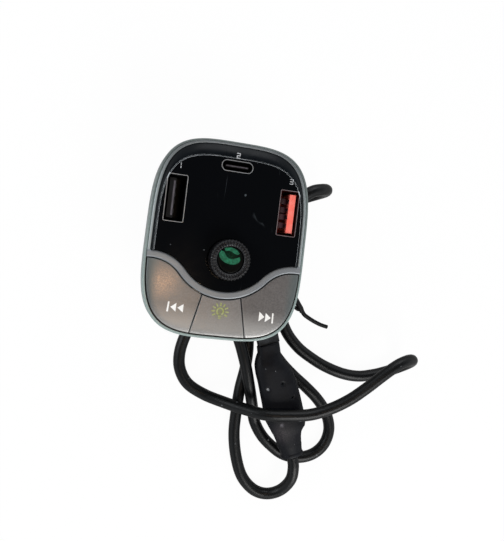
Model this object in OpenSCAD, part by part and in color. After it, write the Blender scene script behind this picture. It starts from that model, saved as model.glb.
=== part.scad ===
// Car radio transmitter head with a supply cord, lying on its back with its face up.
// Origin: middle of the flat base. X to the right of the face, Y to its top, Z out of it.

/* [Head] */
// Width of the head across the light ring
head_w = 46.4; // [44:0.2:54]
// Height of the head from its lower to its upper edge
head_l = 56.2; // [54:0.2:66]
// Depth of the head from the base to the lens
head_d = 30; // [30:0.5:36]
// How square the outline is: 2 is an ellipse, more is squarer
squareness = 3.7; // [3.2:0.1:4.4]
// Thickness of the rear shell's wall
shell_wall = 1.6; // [1.2:0.1:2.2]

/* [Light ring and frames] */
// Width of the pale light ring seen from the front
ring_w = 0.65; // [0.55:0.05:0.9]
// Depth of the light ring along the side
ring_d = 6.5; // [5:0.5:8]
// Width of the dark lip inside the light ring
lip_w = 0.2; // [0.15:0.05:0.35]
// Width of the silver line round the black panel
trim_w = 0.75; // [0.6:0.05:1]
// Width of the silver band over the buttons
band_w = 2.1; // [1.6:0.1:2.6]
// Inner radius of the band's middle bend
smile_r = 14.5; // [13:0.5:16]
// How far in from the side the band's two shoulders have their tops
shoulder_in = 2.5; // [1.8:0.1:3.4]

/* [Panel and lens] */
// Width of the sloped border at the top of the panel
border_top = 3; // [2.6:0.1:4.4]
// Width of the sloped border at the sides of the panel
border_side = 0.7; // [0.5:0.1:1.2]
// Thickness of the flat lens
lens_t = 1; // [0.8:0.1:1.2]
// Space between the display and the large ports beside it
display_side_gap = 2.3; // [2:0.1:4]
// Space between the display and what is above and below it
display_end_gap = 1.9; // [1.6:0.1:3]

/* [Buttons] */
// How far a button or the call cap goes in
press = 0.5; // [0.3:0.1:0.7]
// Thickness of a button's cap
button_t = 2.2; // [1.8:0.1:2.6]
// Gap between two buttons
button_gap = 0.3; // [0.25:0.05:0.5]
// Side of a button's switch
switch_side = 4.5; // [4:0.1:5]

/* [Volume ring and call cap] */
// Outer diameter of the ribbed volume ring
knob_d = 11.6; // [11:0.1:12.6]
// Diameter of the call cap in its middle
cap_d = 7.2; // [6.8:0.1:7.6]
// How far the ring stands out of the lens
knob_rise = 4.4; // [3.6:0.1:5]
// Number of ribs on the ring
knob_ribs = 36; // [24:1:48]

/* [Charging ports] */
// Width of a large port's metal shell
port_w = 5.75; // [5.6:0.05:6]
// Length of a large port's metal shell
port_l = 13.2; // [13:0.05:13.6]
// Depth of a large port's metal shell
port_d = 13.5; // [12:0.5:14]
// Width of lens left between a large port and the lens's edge
port_edge = 1.8; // [1.6:0.05:2.3]
// Width of the small port's metal shell
small_port_w = 9.1; // [8.9:0.05:9.4]
// Height of the small port's metal shell
small_port_l = 3.2; // [3.1:0.05:3.4]
// Depth of the small port's metal shell
small_port_d = 10; // [9:0.5:11]

/* [Cord and plug] */
// Diameter of the supply cord
cord_d = 3.8; // [3.5:0.1:3.9]
// Widest part of the plug's moulded grip
plug_w = 13.2; // [12:0.1:13.8]
// Thickness of the plug's moulded grip
plug_t = 6.4; // [5.6:0.1:6.4]
// Length of the plug's moulded grip
plug_l = 23; // [20:0.5:25]

/* [Hidden] */
over = 0.5; // overrun of every cut
slack = 0.1; // clearance of pieces that are fitted together
running = 0.2; // clearance round pieces that move
outline_steps = 96;
round_fn = 48;
small_fn = 24;

// The outline narrows a little towards the top, by this share of its width
narrow_share = 0.028;
// Each level of the rear shell: share of its height, and share of the full outline
rear_shape_shares = [[0, 0.575], [0.04, 0.61], [0.2, 0.64], [0.4, 0.71], [0.55, 0.82],
    [0.68, 0.935], [0.82, 0.972], [1, 0.985]];
rear_shift_share = 0.06; // how much of what is left off goes to the upper end

// Levels, from the base up
pad_t = 1.2;
floor_t = 2.2;
rear_top = head_d - lens_t - ring_d - 0.4 * lens_t; // split between rear shell and light ring
shelf_z = head_d - 3 * lens_t; // underside of the face panel
panel_rim_z = head_d - 1.4 * lens_t; // top of the panel at its outer edge
trim_top = head_d - lens_t;
ring_top = head_d - 1.2 * lens_t;
lip_top = head_d - 1.5 * lens_t;
button_top = head_d - 0.7 * lens_t;
button_low = button_top - button_t;
button_shelf_z = button_low - press - running;
deck_t = 1.2;
board_t = 1.6;
thin_board_t = 1;
deck_z = rear_top - deck_t; // underside of the front frame's deck
deck_play = 0.6; // the rear shell narrows a little beside the deck
control_z = rear_top + 0.4 * deck_t; // underside of the control board
control_top = control_z + thin_board_t;
port_top = head_d - 0.2 * lens_t;
main_top = port_top - port_d;
main_z = main_top - board_t;
charge_top = port_top - small_port_d;
charge_z = charge_top - thin_board_t;

// Insets from the outline
lip_in = ring_w;
trim_in = lip_in + lip_w;
panel_in = trim_in + trim_w;
button_in = trim_in + button_gap;
frame_wall = 1.5;
frame_in = lip_in + frame_wall;
shelf_w = 1;
spigot_w = 0.9;

// The smile of the band: a middle bend between two shoulders that run level to the sides
shoulder_y = -0.087 * head_l; // top of the shoulders
smile_low = -0.256 * head_l; // lowest point of the band's upper edge
smile_y = smile_low + smile_r;
shoulder_x = head_w / 2 - shoulder_in;
smile_up = smile_y - shoulder_y; // from the shoulders' tops up to the middle bend's centre
shoulder_r = (pow(shoulder_x, 2) + pow(smile_up, 2) - pow(smile_r, 2)) / (2 * (smile_r - smile_up));
shoulder_cy = shoulder_y - shoulder_r;
smile_turn = acos((smile_y - shoulder_cy) / (smile_r + shoulder_r));
smile_steps = 10;

// The two gaps between the buttons run from the band down and outwards
gap_top = [5.65 / 46.4 * head_w, -0.285 * head_l];
gap_low = [8.3 / 46.4 * head_w, -0.5 * head_l];

// Places on the face
port_x = head_w / 2 - panel_in - border_side - port_edge - port_w / 2;
port_y = 0.178 * head_l;
small_port_y = 0.375 * head_l;
knob_x = 0.4 / 46.4 * head_w;
knob_y = -0.0925 * head_l;
switch_y = -0.345 * head_l;
switch_x = 0.255 * head_w;
port_wall = 0.3;
port_corner = 0.5;
tongue_t = 1.8;
tongue_l = 11.1;
tongue_shift = 1.1;
tongue_drop = 0.9;
tongue_root_d = 3;
contact_w = 1;
contact_t = 0.15;
contact_drop = 1.2;
contact_l = 7;
contact_places = [-3.5, -1, 1, 3.5];
small_tongue_w = 6.7;
small_tongue_t = 0.7;

// Switches and stems
switch_h = 2;
switch_wall = 0.8;
stem_d = 2;
stem_bore = stem_d + running;
stem_low = control_top + switch_h / 2;
cap_wall = 0.9;
skirt_in = 0.6;

// Volume ring, rotor and encoder
knob_top = head_d + knob_rise;
knob_bore = cap_d + 0.4;
knob_hole = knob_d + 0.5;
flange_d = knob_d + 1.4;
flange_t = 0.8;
flange_top = shelf_z - running;
flange_z = flange_top - flange_t;
rotor_d = cap_d + 1.4;
rotor_bore = cap_d - 0.2;
rotor_low = control_top + 0.3;
encoder_d = knob_d + 1.2;
encoder_bore = rotor_d + running;
encoder_h = flange_z - running - control_top;
display_low = knob_y + flange_d / 2 + display_end_gap; // the display's lower and upper edge
display_high = small_port_y - small_port_l / 2 - display_end_gap;
display_y = (display_low + display_high) / 2;
display_l = display_high - display_low;
display_w = 2 * (port_x - port_w / 2 - display_side_gap);
rib_depth = 0.35;
rib_share = 0.55;
cap_t = 1.6;
cap_top = knob_top - 0.3;
call_stem_d = 2.6;
call_side = 4.6;
call_switch_h = 2.6;
cap_under = cap_top - cap_t;

// Screws, posts and boards
screw_d = 2;
screw_head_d = 3.6;
screw_head_t = 1.3;
post_d = 5;
screw_x = 0.2 * head_w;
screw_low_y = -0.105 * head_l;
screw_high_y = 0.2 * head_l;
screw_places = [[-screw_x, screw_low_y], [screw_x, screw_low_y],
    [-screw_x, screw_high_y], [screw_x, screw_high_y]];
screw_seat = pad_t + 0.4;
screw_tip = deck_z + deck_t / 2;
boss_d = 4.4;
pin_d = 0.6;
pin_pitch = 2;
pin_count = 5;
coil_side = 7.5;
coil_h = 4.5;
cap_can_d = 6.3;
cap_can_h = 7;
shield_gap = 1.1;
shield_w = 2 * (screw_x - boss_d / 2 - shield_gap);
shield_l = 9;
shield_h = 2;
chip_side = 5;
chip_h = 1;
led_side = 1.6;
led_h = 0.8;
mic_d = 4;
mic_h = 1.5;
ribbon_t = 0.3;
ribbon_w = 8;

// Cord gland in the lower wall of the rear shell
gland_x = 10.5 / 46.4 * head_w;
gland_z = 6.4;
gland_r = cord_d / 2 + 0.35;
gland_root_r = gland_r + 0.5;
gland_out = -24.5; // where the cord leaves it
gland_collar_r = gland_root_r + 0.5;
gland_collar_t = 1;
lead_d = 1.1;
gland_in = screw_low_y - post_d / 2 - 2 * running - lead_d / 2 - 3 * gland_collar_t; // its inner end
gland_rings = 4;
gland_groove = 0.3;

// Plug: where the cord enters it, and how far it is turned from the Y axis
plug_at = [34.2, -67.1, 7.15];
plug_turn = 19.3;
collar_w = 7.3;
collar_t = 5.8;
collar_l = 4.2;
neck_l = 6.4;
neck_w = 8.7;
neck_t = 5.8;
nose_w = 7.6;
nose_t = 4.6;
nose_l = 5.2;
tip_w = 6.8;
tip_t = 3.2;
tip_l = 3.2;
tip_wall = 0.35;
grip_start = collar_l + neck_l;
grip_front_w = 11.4;
grip_lean = 1.2; // its shoulders run aslant

// Twist tie round the two strands that run up the right side
tie_y = -11.8;
tie_x = 21.7;
tie_reach = 2.05; // from the middle to each strand
tie_z = 3.25;
tie_slack = 0.25;
tie_d = 1.1;
tie_long = 2.6;
tie_tail = [[26.45, -11.8, 3.25], [28.3, -13.4, 3.2], [30.1, -15.8, 3.1], [31.2, -17.6, 3],
    [32.4, -19.2, 3], [33.6, -20.4, 2.9], [35.5, -21.5, 2.8], [37.7, -22.5, 2.7], [40, -23.3, 2.6], [42.3, -23.8, 2.5]];

// The cord's route, from the gland to the plug: x, y and height of its middle line
cord_route = [[gland_x, gland_out, gland_z], [gland_x + 0.5, -28.5, gland_z], [13, -33.3, 6.35], [15.1, -38.8, 6.25],
    [17.3, -45.5, 5.4], [19.4, -51.5, 3.3], [21.2, -57.2, 1.95], [24.2, -61.8, 1.95],
    [28, -65.2, 1.95], [32.5, -67.9, 1.95], [38, -68.7, 1.95], [43.1, -67.2, 1.95],
    [46.6, -63.6, 1.95], [47.7, -58.5, 1.95], [46, -53.2, 1.95], [42.5, -48.8, 1.95],
    [38, -45, 1.95], [32.5, -41, 1.95], [27.5, -36.7, 1.95], [23.2, -31.5, 1.95],
    [20.3, -25, 2.1], [19.4, -18, 2.8], [19.6, -13.8, 3.25], [19.65, -9.6, 3.25], [19.4, -4, 2.4],
    [19.5, 4, 1.95], [21.5, 11, 1.95], [24, 15.2, 1.95], [27.2, 17.3, 1.95],
    [30.4, 18.8, 2.8], [32.8, 19.9, 5.3], [33.6, 20.4, 8.8], [32.8, 20.5, 12.3], [30.6, 20.1, 14.8],
    [27.4, 19.1, 15.8], [24.8, 17.1, 15.7], [23.4, 14.2, 15.1], [22.9, 10.8, 13.9], [23, 5, 10.9],
    [23.5, -0.5, 7.4], [23.8, -5.4, 4.6], [23.75, -9.6, 3.25], [23.8, -13.8, 3.2], [24.9, -19.5, 2.4],
    [28.3, -26.5, 1.95], [33, -31.5, 1.95], [38.5, -34.9, 1.95], [44, -37.4, 1.95],
    [50.3, -39.2, 1.95], [56, -39.6, 1.95], [61, -38.7, 1.95], [65, -37.5, 1.95],
    [68.5, -35.9, 2.8], [70.7, -34, 5.2], [71.2, -32.3, 8.6], [69.9, -31.1, 12.1],
    [67, -31.1, 14.6], [63.2, -32.8, 15.5], [58.7, -36.5, 15.4], [53.7, -41.2, 14.8],
    [48.6, -45.4, 14.3], [42.7, -48.9, 13.8], [36.3, -51.3, 13.4], [29, -52.2, 13.1],
    [22, -52.6, 11.9], [15.5, -52, 8.6], [9, -51, 4.9], [3, -49.5, 2.4],
    [-2.5, -46.5, 1.95], [-5.5, -42, 1.95], [-6.2, -37, 1.95], [-5.2, -31.5, 1.95],
    [-3, -25.7, 1.95], [0.9, -21.5, 1.95], [6, -20.4, 1.95], [11.3, -22.4, 1.95],
    [14.8, -26.7, 1.95], [16, -32.3, 1.95], [16, -39.5, 1.95], [15, -47, 1.95],
    [14.7, -54.5, 1.95], [14.9, -62, 1.95], [16.5, -69.5, 1.95], [19.3, -76, 1.95],
    [23.7, -80.2, 1.95], [28.4, -81.3, 2.4], [32.6, -79.3, 3.9], [34.9, -75, 6.1],
    [35, -70.6, 7.05], [34.2, -67.1, 7.15]];
cord_sides = 8;

// Point of the head's outline at an angle, for a share of its size and an inset from it
function rounded(c, s, a, b) = pow(pow(abs(c / a), squareness) + pow(abs(s / b), squareness), -1 / squareness);
function outline_point(t, in, share) =
    let (a = share * head_w / 2 - in, b = share * head_l / 2 - in, r = rounded(cos(t), sin(t), a, b),
        y = r * sin(t))
    [r * cos(t) * (1 - narrow_share * (1 + 2 * y / head_l) / 2), y + rear_shift_share * (1 - share) * head_l];
function outline(in = 0, share = 1) =
    [for (i = [0 : outline_steps - 1]) outline_point(360 * i / outline_steps, in, share)];

// Outline of the flat lens: closer to the sides than to the top
function lens_outline(grow = 0) =
    let (a = head_w / 2 - panel_in - border_side + grow, b = head_l / 2 - panel_in - border_top + grow)
    [for (i = [0 : outline_steps - 1]) let (t = 360 * i / outline_steps, r = rounded(cos(t), sin(t), a, b))
        [r * cos(t) * (1 - narrow_share * (1 + 2 * r * sin(t) / head_l) / 2), r * sin(t)]];

// The band's edge, from left to right, moved down by an offset
function smile(off) = concat(
    [[-head_w, shoulder_y - off]],
    [for (i = [0 : smile_steps]) let (t = smile_turn * i / smile_steps)
        [-shoulder_x + (shoulder_r - off) * sin(t), shoulder_cy + (shoulder_r - off) * cos(t)]],
    [for (i = [-smile_steps + 1 : smile_steps - 1]) let (t = smile_turn * i / smile_steps)
        [(smile_r + off) * sin(t), smile_y - (smile_r + off) * cos(t)]],
    [for (i = [0 : smile_steps]) let (t = smile_turn * (1 - i / smile_steps))
        [shoulder_x - (shoulder_r - off) * sin(t), shoulder_cy + (shoulder_r - off) * cos(t)]],
    [[head_w, shoulder_y - off]]);

module above(off) { polygon(concat([[-head_w, head_l]], smile(off), [[head_w, head_l]])); }
module below(off) { polygon(concat([[-head_w, -head_l]], smile(off), [[head_w, -head_l]])); }

// A solid between two levels from a flat shape
module slab(low, high) { translate([0, 0, low]) linear_extrude(high - low) children(); }
module at(x, y, z = 0) { translate([x, y, z]) children(); }
module rod(d, low, high, fn = round_fn) { translate([0, 0, low]) cylinder(d = d, h = high - low, $fn = fn); }
module block(w, l, low, high) { translate([-w / 2, -l / 2, low]) cube([w, l, high - low]); }

// A closed solid through rings of points, each ring with as many points
module skin_of(rings) {
    n = len(rings[0]);
    last = len(rings) - 1;
    polyhedron(
        points = [for (ring = rings, p = ring) p],
        faces = concat(
            [[for (j = [0 : n - 1]) j]],
            [[for (j = [n - 1 : -1 : 0]) last * n + j]],
            [for (i = [0 : last - 1], j = [0 : n - 1]) [i * n + j, (i + 1) * n + j, (i + 1) * n + (j + 1) % n]],
            [for (i = [0 : last - 1], j = [0 : n - 1]) [i * n + j, (i + 1) * n + (j + 1) % n, i * n + (j + 1) % n]]),
        convexity = 6);
}
function lifted(points, z) = [for (p = points) [p[0], p[1], z]];

// The rear shell's form between two levels, with its wall's inset
function rear_share(z) = lookup(z / rear_top, rear_shape_shares);
module rear_form(in, low, high) {
    levels = [for (s = rear_shape_shares) if (s[0] * rear_top > low && s[0] * rear_top < high) s[0] * rear_top];
    skin_of([for (z = concat([low], levels, [high])) lifted(outline(in, rear_share(min(z, rear_top))), z)]);
}

// A tube along points, its rings carried along without twist
function unit(v) = v / norm(v);
function tangent(p, i, first, last) = i == 0 ? unit(first) : i == len(p) - 1 ? unit(last)
    : unit(unit(p[i + 1] - p[i]) + unit(p[i] - p[i - 1]));
function tube_rings(p, d, sides, first, last) =
    let (t = [for (i = [0 : len(p) - 1]) tangent(p, i, first, last)],
        u = [for (i = 0, v = unit(cross(t[0], [0, 0, 1])); i < len(p);
            i = i + 1, v = i < len(p) ? unit(v - t[i] * (v * t[i])) : v) v])
    [for (i = [0 : len(p) - 1]) [for (j = [0 : sides - 1]) let (a = 360 * (j + 0.5) / sides)
        p[i] + d / 2 * (cos(a) * u[i] + sin(a) * cross(t[i], u[i]))]];

// Flat shapes of the ports
module rounded_box(w, l, r) {
    offset_w = w - 2 * r;
    offset_l = l - 2 * r;
    square([w, offset_l], center = true);
    square([offset_w, l], center = true);
    for (x = [-1, 1], y = [-1, 1]) at(x * offset_w / 2, y * offset_l / 2) circle(r = r, $fn = small_fn);
}
module port_shape(grow = 0) { rounded_box(port_w + 2 * grow, port_l + 2 * grow, port_corner + grow); }
module small_port_shape(grow = 0) {
    rounded_box(small_port_w + 2 * grow, small_port_l + 2 * grow, (small_port_l - small_port_l / 50) / 2 + grow);
}
module port_holes(grow) {
    for (side = [-1, 1]) at(side * port_x, port_y) port_shape(grow);
    at(0, small_port_y) small_port_shape(grow);
}

// The gland's axis: it leaves the lower wall level with the surface
module gland_place() { translate([gland_x, gland_in, gland_z]) rotate([90, 0, 0]) children(); }

// Rear shell: hollow cup with screw posts and the hole for the gland
module rear_shell() {
    color("#2b2d30") difference() {
        union() {
            difference() {
                rear_form(0, 0, rear_top);
                rear_form(shell_wall, floor_t, rear_top + over);
            }
            for (p = screw_places) at(p[0], p[1]) rod(post_d, floor_t - over, main_z);
            intersection() {
                rear_form(0, 0, rear_top);
                gland_place() cylinder(r = gland_collar_r, h = head_l, $fn = round_fn);
            }
        }
        slab(-over, pad_t) polygon(outline(shell_wall, rear_shape_shares[0][1]));
        for (p = screw_places) at(p[0], p[1]) {
            rod(screw_d + running, 0, main_z + over);
            rod(screw_head_d + 2 * running, 0, screw_seat + screw_head_t);
        }
        gland_place() translate([0, 0, -over]) cylinder(r = gland_root_r + slack / 2, h = head_l, $fn = round_fn);
        gland_place() translate([0, 0, -gland_collar_t - over])
            cylinder(r = gland_collar_r + slack / 2, h = gland_collar_t + over + slack / 2, $fn = round_fn);
    }
}

// Rubber pad in the base
module base_pad() {
    color("#1c1d1f") difference() {
        slab(0, pad_t - slack) polygon(outline(shell_wall + slack, rear_shape_shares[0][1]));
        for (p = screw_places) at(p[0], p[1]) rod(screw_head_d + 2 * running, -over, pad_t + over);
    }
}

// Four screws from the base through the posts and the main board into the frame's bosses
module case_screws() {
    color("#9a9da1") for (p = screw_places) at(p[0], p[1]) {
        difference() {
            rod(screw_head_d, screw_seat, screw_seat + screw_head_t, small_fn);
            block(screw_head_d / 2, screw_d / 4, screw_seat - over, screw_seat + screw_head_t / 2);
            block(screw_d / 4, screw_head_d / 2, screw_seat - over, screw_seat + screw_head_t / 2);
        }
        rod(screw_d, screw_seat + screw_head_t, screw_tip, small_fn);
    }
}

// Front frame: wall, shelf for the panel, lip that shows as the dark seam, and a deck with bosses
module front_frame() {
    color("#17181b") difference() {
        union() {
            slab(deck_z, shelf_z) polygon(outline(shell_wall + slack + deck_play));
            slab(rear_top, shelf_z) polygon(outline(lip_in));
            slab(rear_top, lip_top) difference() {
                polygon(outline(lip_in));
                polygon(outline(trim_in));
            }
            for (p = screw_places) at(p[0], p[1]) rod(boss_d, main_top, deck_z + deck_t);
        }
        slab(deck_z + deck_t, shelf_z - shelf_w) polygon(outline(frame_in + shelf_w));
        slab(shelf_z - shelf_w - over, shelf_z + over) polygon(outline(frame_in));
        slab(button_shelf_z, shelf_z + over) intersection() {
            polygon(outline(trim_in));
            below(band_w);
        }
        slab(deck_z - over, shelf_z + over) port_holes(2 * slack);
        at(0, switch_y / 2) block(ribbon_w, ribbon_w, deck_z - over, deck_z + deck_t + over);
        for (p = screw_places) at(p[0], p[1]) rod(screw_d + slack, main_top - over, screw_tip + slack);
    }
}

// Pale ring that glows round the face
module light_ring() {
    color("#a9bdb8") difference() {
        hull() {
            slab(rear_top, ring_top - ring_w / 2) polygon(outline());
            slab(ring_top - ring_w, ring_top) polygon(outline(ring_w / 3));
        }
        slab(rear_top - over, ring_top + over) polygon(outline(lip_in - lip_w / 5));
    }
}

// Silver frame: the thin line round the panel and the band over the buttons
module panel_frame() {
    color("#a6aaab") {
        slab(shelf_z, trim_top) intersection() {
            above(0);
            difference() {
                polygon(outline(trim_in + slack / 2));
                polygon(outline(panel_in));
            }
        }
        slab(shelf_z, trim_top + lens_t / 4) intersection() {
            difference() {
                below(0);
                below(band_w);
            }
            polygon(outline(trim_in + slack / 2));
        }
    }
}

// Black panel: sloped border, pocket for the lens, openings for the ports, display and ring
module face_panel() {
    color("#0b0c10") difference() {
        intersection() {
            hull() {
                slab(shelf_z, panel_rim_z) polygon(outline(panel_in + slack));
                slab(panel_rim_z, head_d - lens_t / 5) polygon(lens_outline(border_side / 4));
            }
            slab(shelf_z, head_d) above(-slack);
        }
        slab(head_d - lens_t, head_d + over) polygon(lens_outline(slack / 2));
        slab(shelf_z - over, head_d) port_holes(slack);
        slab(shelf_z - over, head_d) at(0, display_y) square([display_w + slack, display_l + slack], center = true);
        at(knob_x, knob_y) rod(knob_hole, shelf_z - over, head_d + over);
    }
}

// Flat gloss lens
module display_lens() {
    color("#050609") difference() {
        slab(head_d - lens_t, head_d) intersection() {
            polygon(lens_outline());
            above(-slack);
        }
        slab(head_d - lens_t - over, head_d + over) port_holes(slack);
        at(knob_x, knob_y) rod(knob_hole, head_d - lens_t - over, head_d + over);
    }
}

// Display behind the lens, and the ribbon from it to the control board
module display_module() {
    color("#20242c") slab(shelf_z - lens_t, head_d - lens_t) at(0, display_y)
        square([display_w - slack, display_l - slack], center = true);
}
module display_cable() {
    color("#b0762c") at(0, display_y - display_l / 2 + ribbon_t, 0)
        block(ribbon_w, ribbon_t, control_top, shelf_z - lens_t);
}

// The three buttons: caps that share one outline, cut by the two slanting gaps
module button_area(off) { intersection() { polygon(outline(button_in + off)); below(band_w + button_gap + off); } }
module gap_side(side, grow) {
    reach = gap_low - gap_top;
    far = gap_low + reach;
    near = gap_top - reach;
    polygon([[side * (near[0] + grow), near[1]], [side * (far[0] + grow), far[1]],
        [side * head_w, far[1]], [side * head_w, near[1]]]);
}
module button_outline(which, off = 0) {
    if (which == 0) difference() {
        button_area(off);
        for (side = [-1, 1]) gap_side(side, -button_gap / 2 - off);
    }
    else intersection() {
        button_area(off);
        gap_side(which, button_gap / 2 + off);
    }
}
module button_cap(which) {
    difference() {
        slab(button_low, button_top) button_outline(which);
        slab(button_low - over, button_top - cap_wall) button_outline(which, skirt_in);
    }
}
module stem(x) { at(x, switch_y) rod(stem_d, stem_low, button_top - cap_wall); }
module button_prev() { color("#8f8a87") button_cap(-1); }
module button_light() { color("#97928e") button_cap(0); }
module button_next() { color("#8f8a87") button_cap(1); }
module stem_prev() { color("#d9d4c6") stem(-switch_x); }
module stem_light() { color("#d9d4c6") stem(0); }
module stem_next() { color("#d9d4c6") stem(switch_x); }

// A switch body with the hole that its stem moves in
module switch_body(side, high, bore) {
    difference() {
        block(side, side, control_top, control_top + high);
        rod(bore, control_top + switch_wall / 2, control_top + high + over, small_fn);
    }
}
module tact_switches() {
    color("#3a3c40") for (x = [-switch_x, 0, switch_x]) at(x, switch_y) switch_body(switch_side, switch_h, stem_bore);
}

// Board behind the buttons and the volume ring
module control_board() {
    color("#1d5a3a") difference() {
        slab(control_z, control_top) intersection() {
            polygon(outline(frame_in + shelf_w + slack));
            at(0, -head_l / 2 + display_y - display_l / 2 + 2 * deck_t) square([head_w, head_l], center = true);
        }
        slab(control_z - over, control_top + over) port_holes(4 * slack);
    }
}

// Volume ring: ribbed crown on a flange under the panel
module volume_ring() {
    color("#1b1c1f") at(knob_x, knob_y) difference() {
        union() {
            rod(knob_d - 2 * rib_depth, flange_top, knob_top);
            rod(flange_d, flange_z, flange_top);
            for (i = [0 : knob_ribs - 1]) rotate(360 * i / knob_ribs)
                translate([knob_d / 2 - 2 * rib_depth, -rib_share * PI * knob_d / knob_ribs / 2, head_d + rib_depth])
                    cube([2 * rib_depth, rib_share * PI * knob_d / knob_ribs, knob_rise - 2 * rib_depth]);
        }
        rod(knob_bore, flange_z - over, knob_top + over);
    }
}
module ring_rotor() {
    color("#c9c6bd") at(knob_x, knob_y) difference() {
        rod(rotor_d, rotor_low, flange_z);
        rod(rotor_bore, rotor_low - over, flange_z + over);
    }
}
module encoder_body() {
    color("#4a4d52") at(knob_x, knob_y) difference() {
        rod(encoder_d, control_top, control_top + encoder_h);
        rod(encoder_bore, control_top - over, control_top + encoder_h + over);
    }
}

// Call cap in the middle of the ring, its stem and its switch
module call_cap() {
    color("#0c0d0f") at(knob_x, knob_y) {
        rod(cap_d, cap_under, cap_top - cap_t / 4);
        translate([0, 0, cap_top - cap_t / 4])
            cylinder(d1 = cap_d, d2 = cap_d - cap_t / 2, h = cap_t / 4, $fn = round_fn);
    }
}
module call_stem() { color("#d9d4c6") at(knob_x, knob_y) rod(call_stem_d, control_top + call_switch_h / 2, cap_under); }
module call_switch() {
    color("#3a3c40") at(knob_x, knob_y) switch_body(call_side, call_switch_h, call_stem_d + running);
}

// Large ports: metal shell, tongue on the outer side, and four contacts on its inner face
module port_shell(side) {
    color("#8d9095") at(side * port_x, port_y) difference() {
        slab(main_top, port_top) port_shape();
        slab(main_top + port_wall, port_top + over) port_shape(-port_wall);
    }
}
module port_tongue(side) {
    at(side * port_x, port_y) {
        at(side * tongue_shift, 0) block(tongue_t, tongue_l, main_top + port_wall, port_top - tongue_drop);
        slab(main_top + port_wall, main_top + port_wall + tongue_root_d) port_shape(-port_wall - slack / 2);
    }
}
module port_contacts(side) {
    face = side * (tongue_shift - tongue_t / 2 - contact_t / 2);
    color("#b9a25a") for (y = contact_places) at(side * port_x + face, port_y + y)
        block(contact_t, contact_w, port_top - contact_drop - contact_l, port_top - contact_drop);
}
module usb_a_left_shell() { port_shell(-1); }
module usb_a_left_tongue() { color("#3b3d41") port_tongue(-1); }
module usb_a_left_contacts() { port_contacts(-1); }
module usb_a_right_shell() { port_shell(1); }
module usb_a_right_tongue() { color("#f26050") port_tongue(1); }
module usb_a_right_contacts() { port_contacts(1); }

// Small port and the board that carries it
module usb_c_shell() {
    color("#a4a7ab") at(0, small_port_y) difference() {
        slab(charge_top, port_top) small_port_shape();
        slab(charge_top + port_wall, port_top + over) small_port_shape(-port_wall);
    }
}
module usb_c_tongue() {
    color("#2a2b2e") at(0, small_port_y) {
        block(small_tongue_w, small_tongue_t, charge_top + port_wall, port_top - tongue_drop);
        slab(charge_top + port_wall, charge_top + tongue_root_d) small_port_shape(-port_wall - slack / 2);
    }
}
module charge_board() {
    color("#1d5a3a") at(0, small_port_y) block(small_port_w + 4 * port_wall, 2 * small_port_l, charge_z, charge_top);
}

// Main board and what stands on it
module main_board() {
    color("#1d5a3a") difference() {
        slab(main_z, main_top) polygon(outline(shell_wall + 2 * slack, rear_share(main_z)));
        for (p = screw_places) at(p[0], p[1]) rod(screw_d + running, main_z - over, main_top + over);
    }
}
module board_pins() {
    color("#c8b458") {
        for (i = [0 : pin_count - 1]) at((i - (pin_count - 1) / 2) * pin_pitch, small_port_y)
            rod(pin_d, main_top, charge_z, small_fn);
        for (i = [0 : pin_count - 1]) at((i - (pin_count - 1) / 2) * pin_pitch / 2, switch_y / 2)
            rod(pin_d, main_top, control_z, small_fn);
    }
}
module power_coil() {
    color("#3b3b3d") at(0, screw_low_y / 4) {
        block(coil_side, coil_side, main_z - coil_h, main_z);
    }
}
module capacitors() {
    beside_coil = screw_low_y / 4 + (coil_side + cap_can_d) / 2 + over;
    color("#b8bcc2") for (side = [-1, 1]) at(side * (cap_can_d / 2 + running), beside_coil)
        rod(cap_can_d, main_z - cap_can_h, main_z);
}
module radio_shield() {
    color("#aeb2b6") at(0, display_y) difference() {
        block(shield_w, shield_l, main_top, main_top + shield_h);
        block(shield_w - 2 * port_wall, shield_l - 2 * port_wall, main_top - over, main_top + shield_h - port_wall);
    }
}
module power_chip() {
    color("#141416") at(0, -screw_high_y) block(chip_side, chip_side, main_z - chip_h, main_z);
}
module ring_leds() {
    color("#efe9b0") for (side = [-1, 1], y = [knob_y, 2 * knob_y]) at(side * (port_x - led_side), y)
        block(led_side, led_side, control_top, control_top + led_h);
}
module microphone() {
    color("#c4c6c8") at(-switch_x / 2, -port_y - mic_d) rod(mic_d, control_top, control_top + mic_h);
}

// Gland with a tapered, grooved sleeve, and the two leads inside
module cord_gland() {
    long = gland_in - gland_out;
    color("#141518") gland_place() difference() {
        union() {
            translate([0, 0, -gland_collar_t]) cylinder(r = gland_collar_r, h = gland_collar_t, $fn = round_fn);
            cylinder(r = gland_root_r, h = long / 2, $fn = round_fn);
            translate([0, 0, long / 2]) cylinder(r1 = gland_root_r, r2 = gland_r, h = long / 2, $fn = round_fn);
        }
        for (i = [0 : gland_rings - 1]) translate([0, 0, long * (0.62 + 0.09 * i)]) difference() {
            cylinder(r = gland_collar_r, h = gland_groove, $fn = round_fn);
            translate([0, 0, -over]) cylinder(r = gland_r - gland_groove, h = gland_groove + 2 * over, $fn = round_fn);
        }
    }
}
module supply_leads() {
    color("#8c1f1a") for (side = [-1, 1]) translate([gland_x + side * lead_d, gland_in + gland_collar_t, gland_z]) {
        rotate([-90, 0, 0]) cylinder(d = lead_d, h = 2 * gland_collar_t + lead_d / 2, $fn = small_fn);
        translate([0, 2 * gland_collar_t, 0]) cylinder(d = lead_d, h = main_z - gland_z, $fn = small_fn);
    }
}

// The free cord
plug_dir = [-sin(plug_turn), cos(plug_turn), 0];
module power_cord() {
    color("#121316") skin_of(tube_rings(cord_route, cord_d, cord_sides, [0, -1, 0], plug_dir));
}

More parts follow.
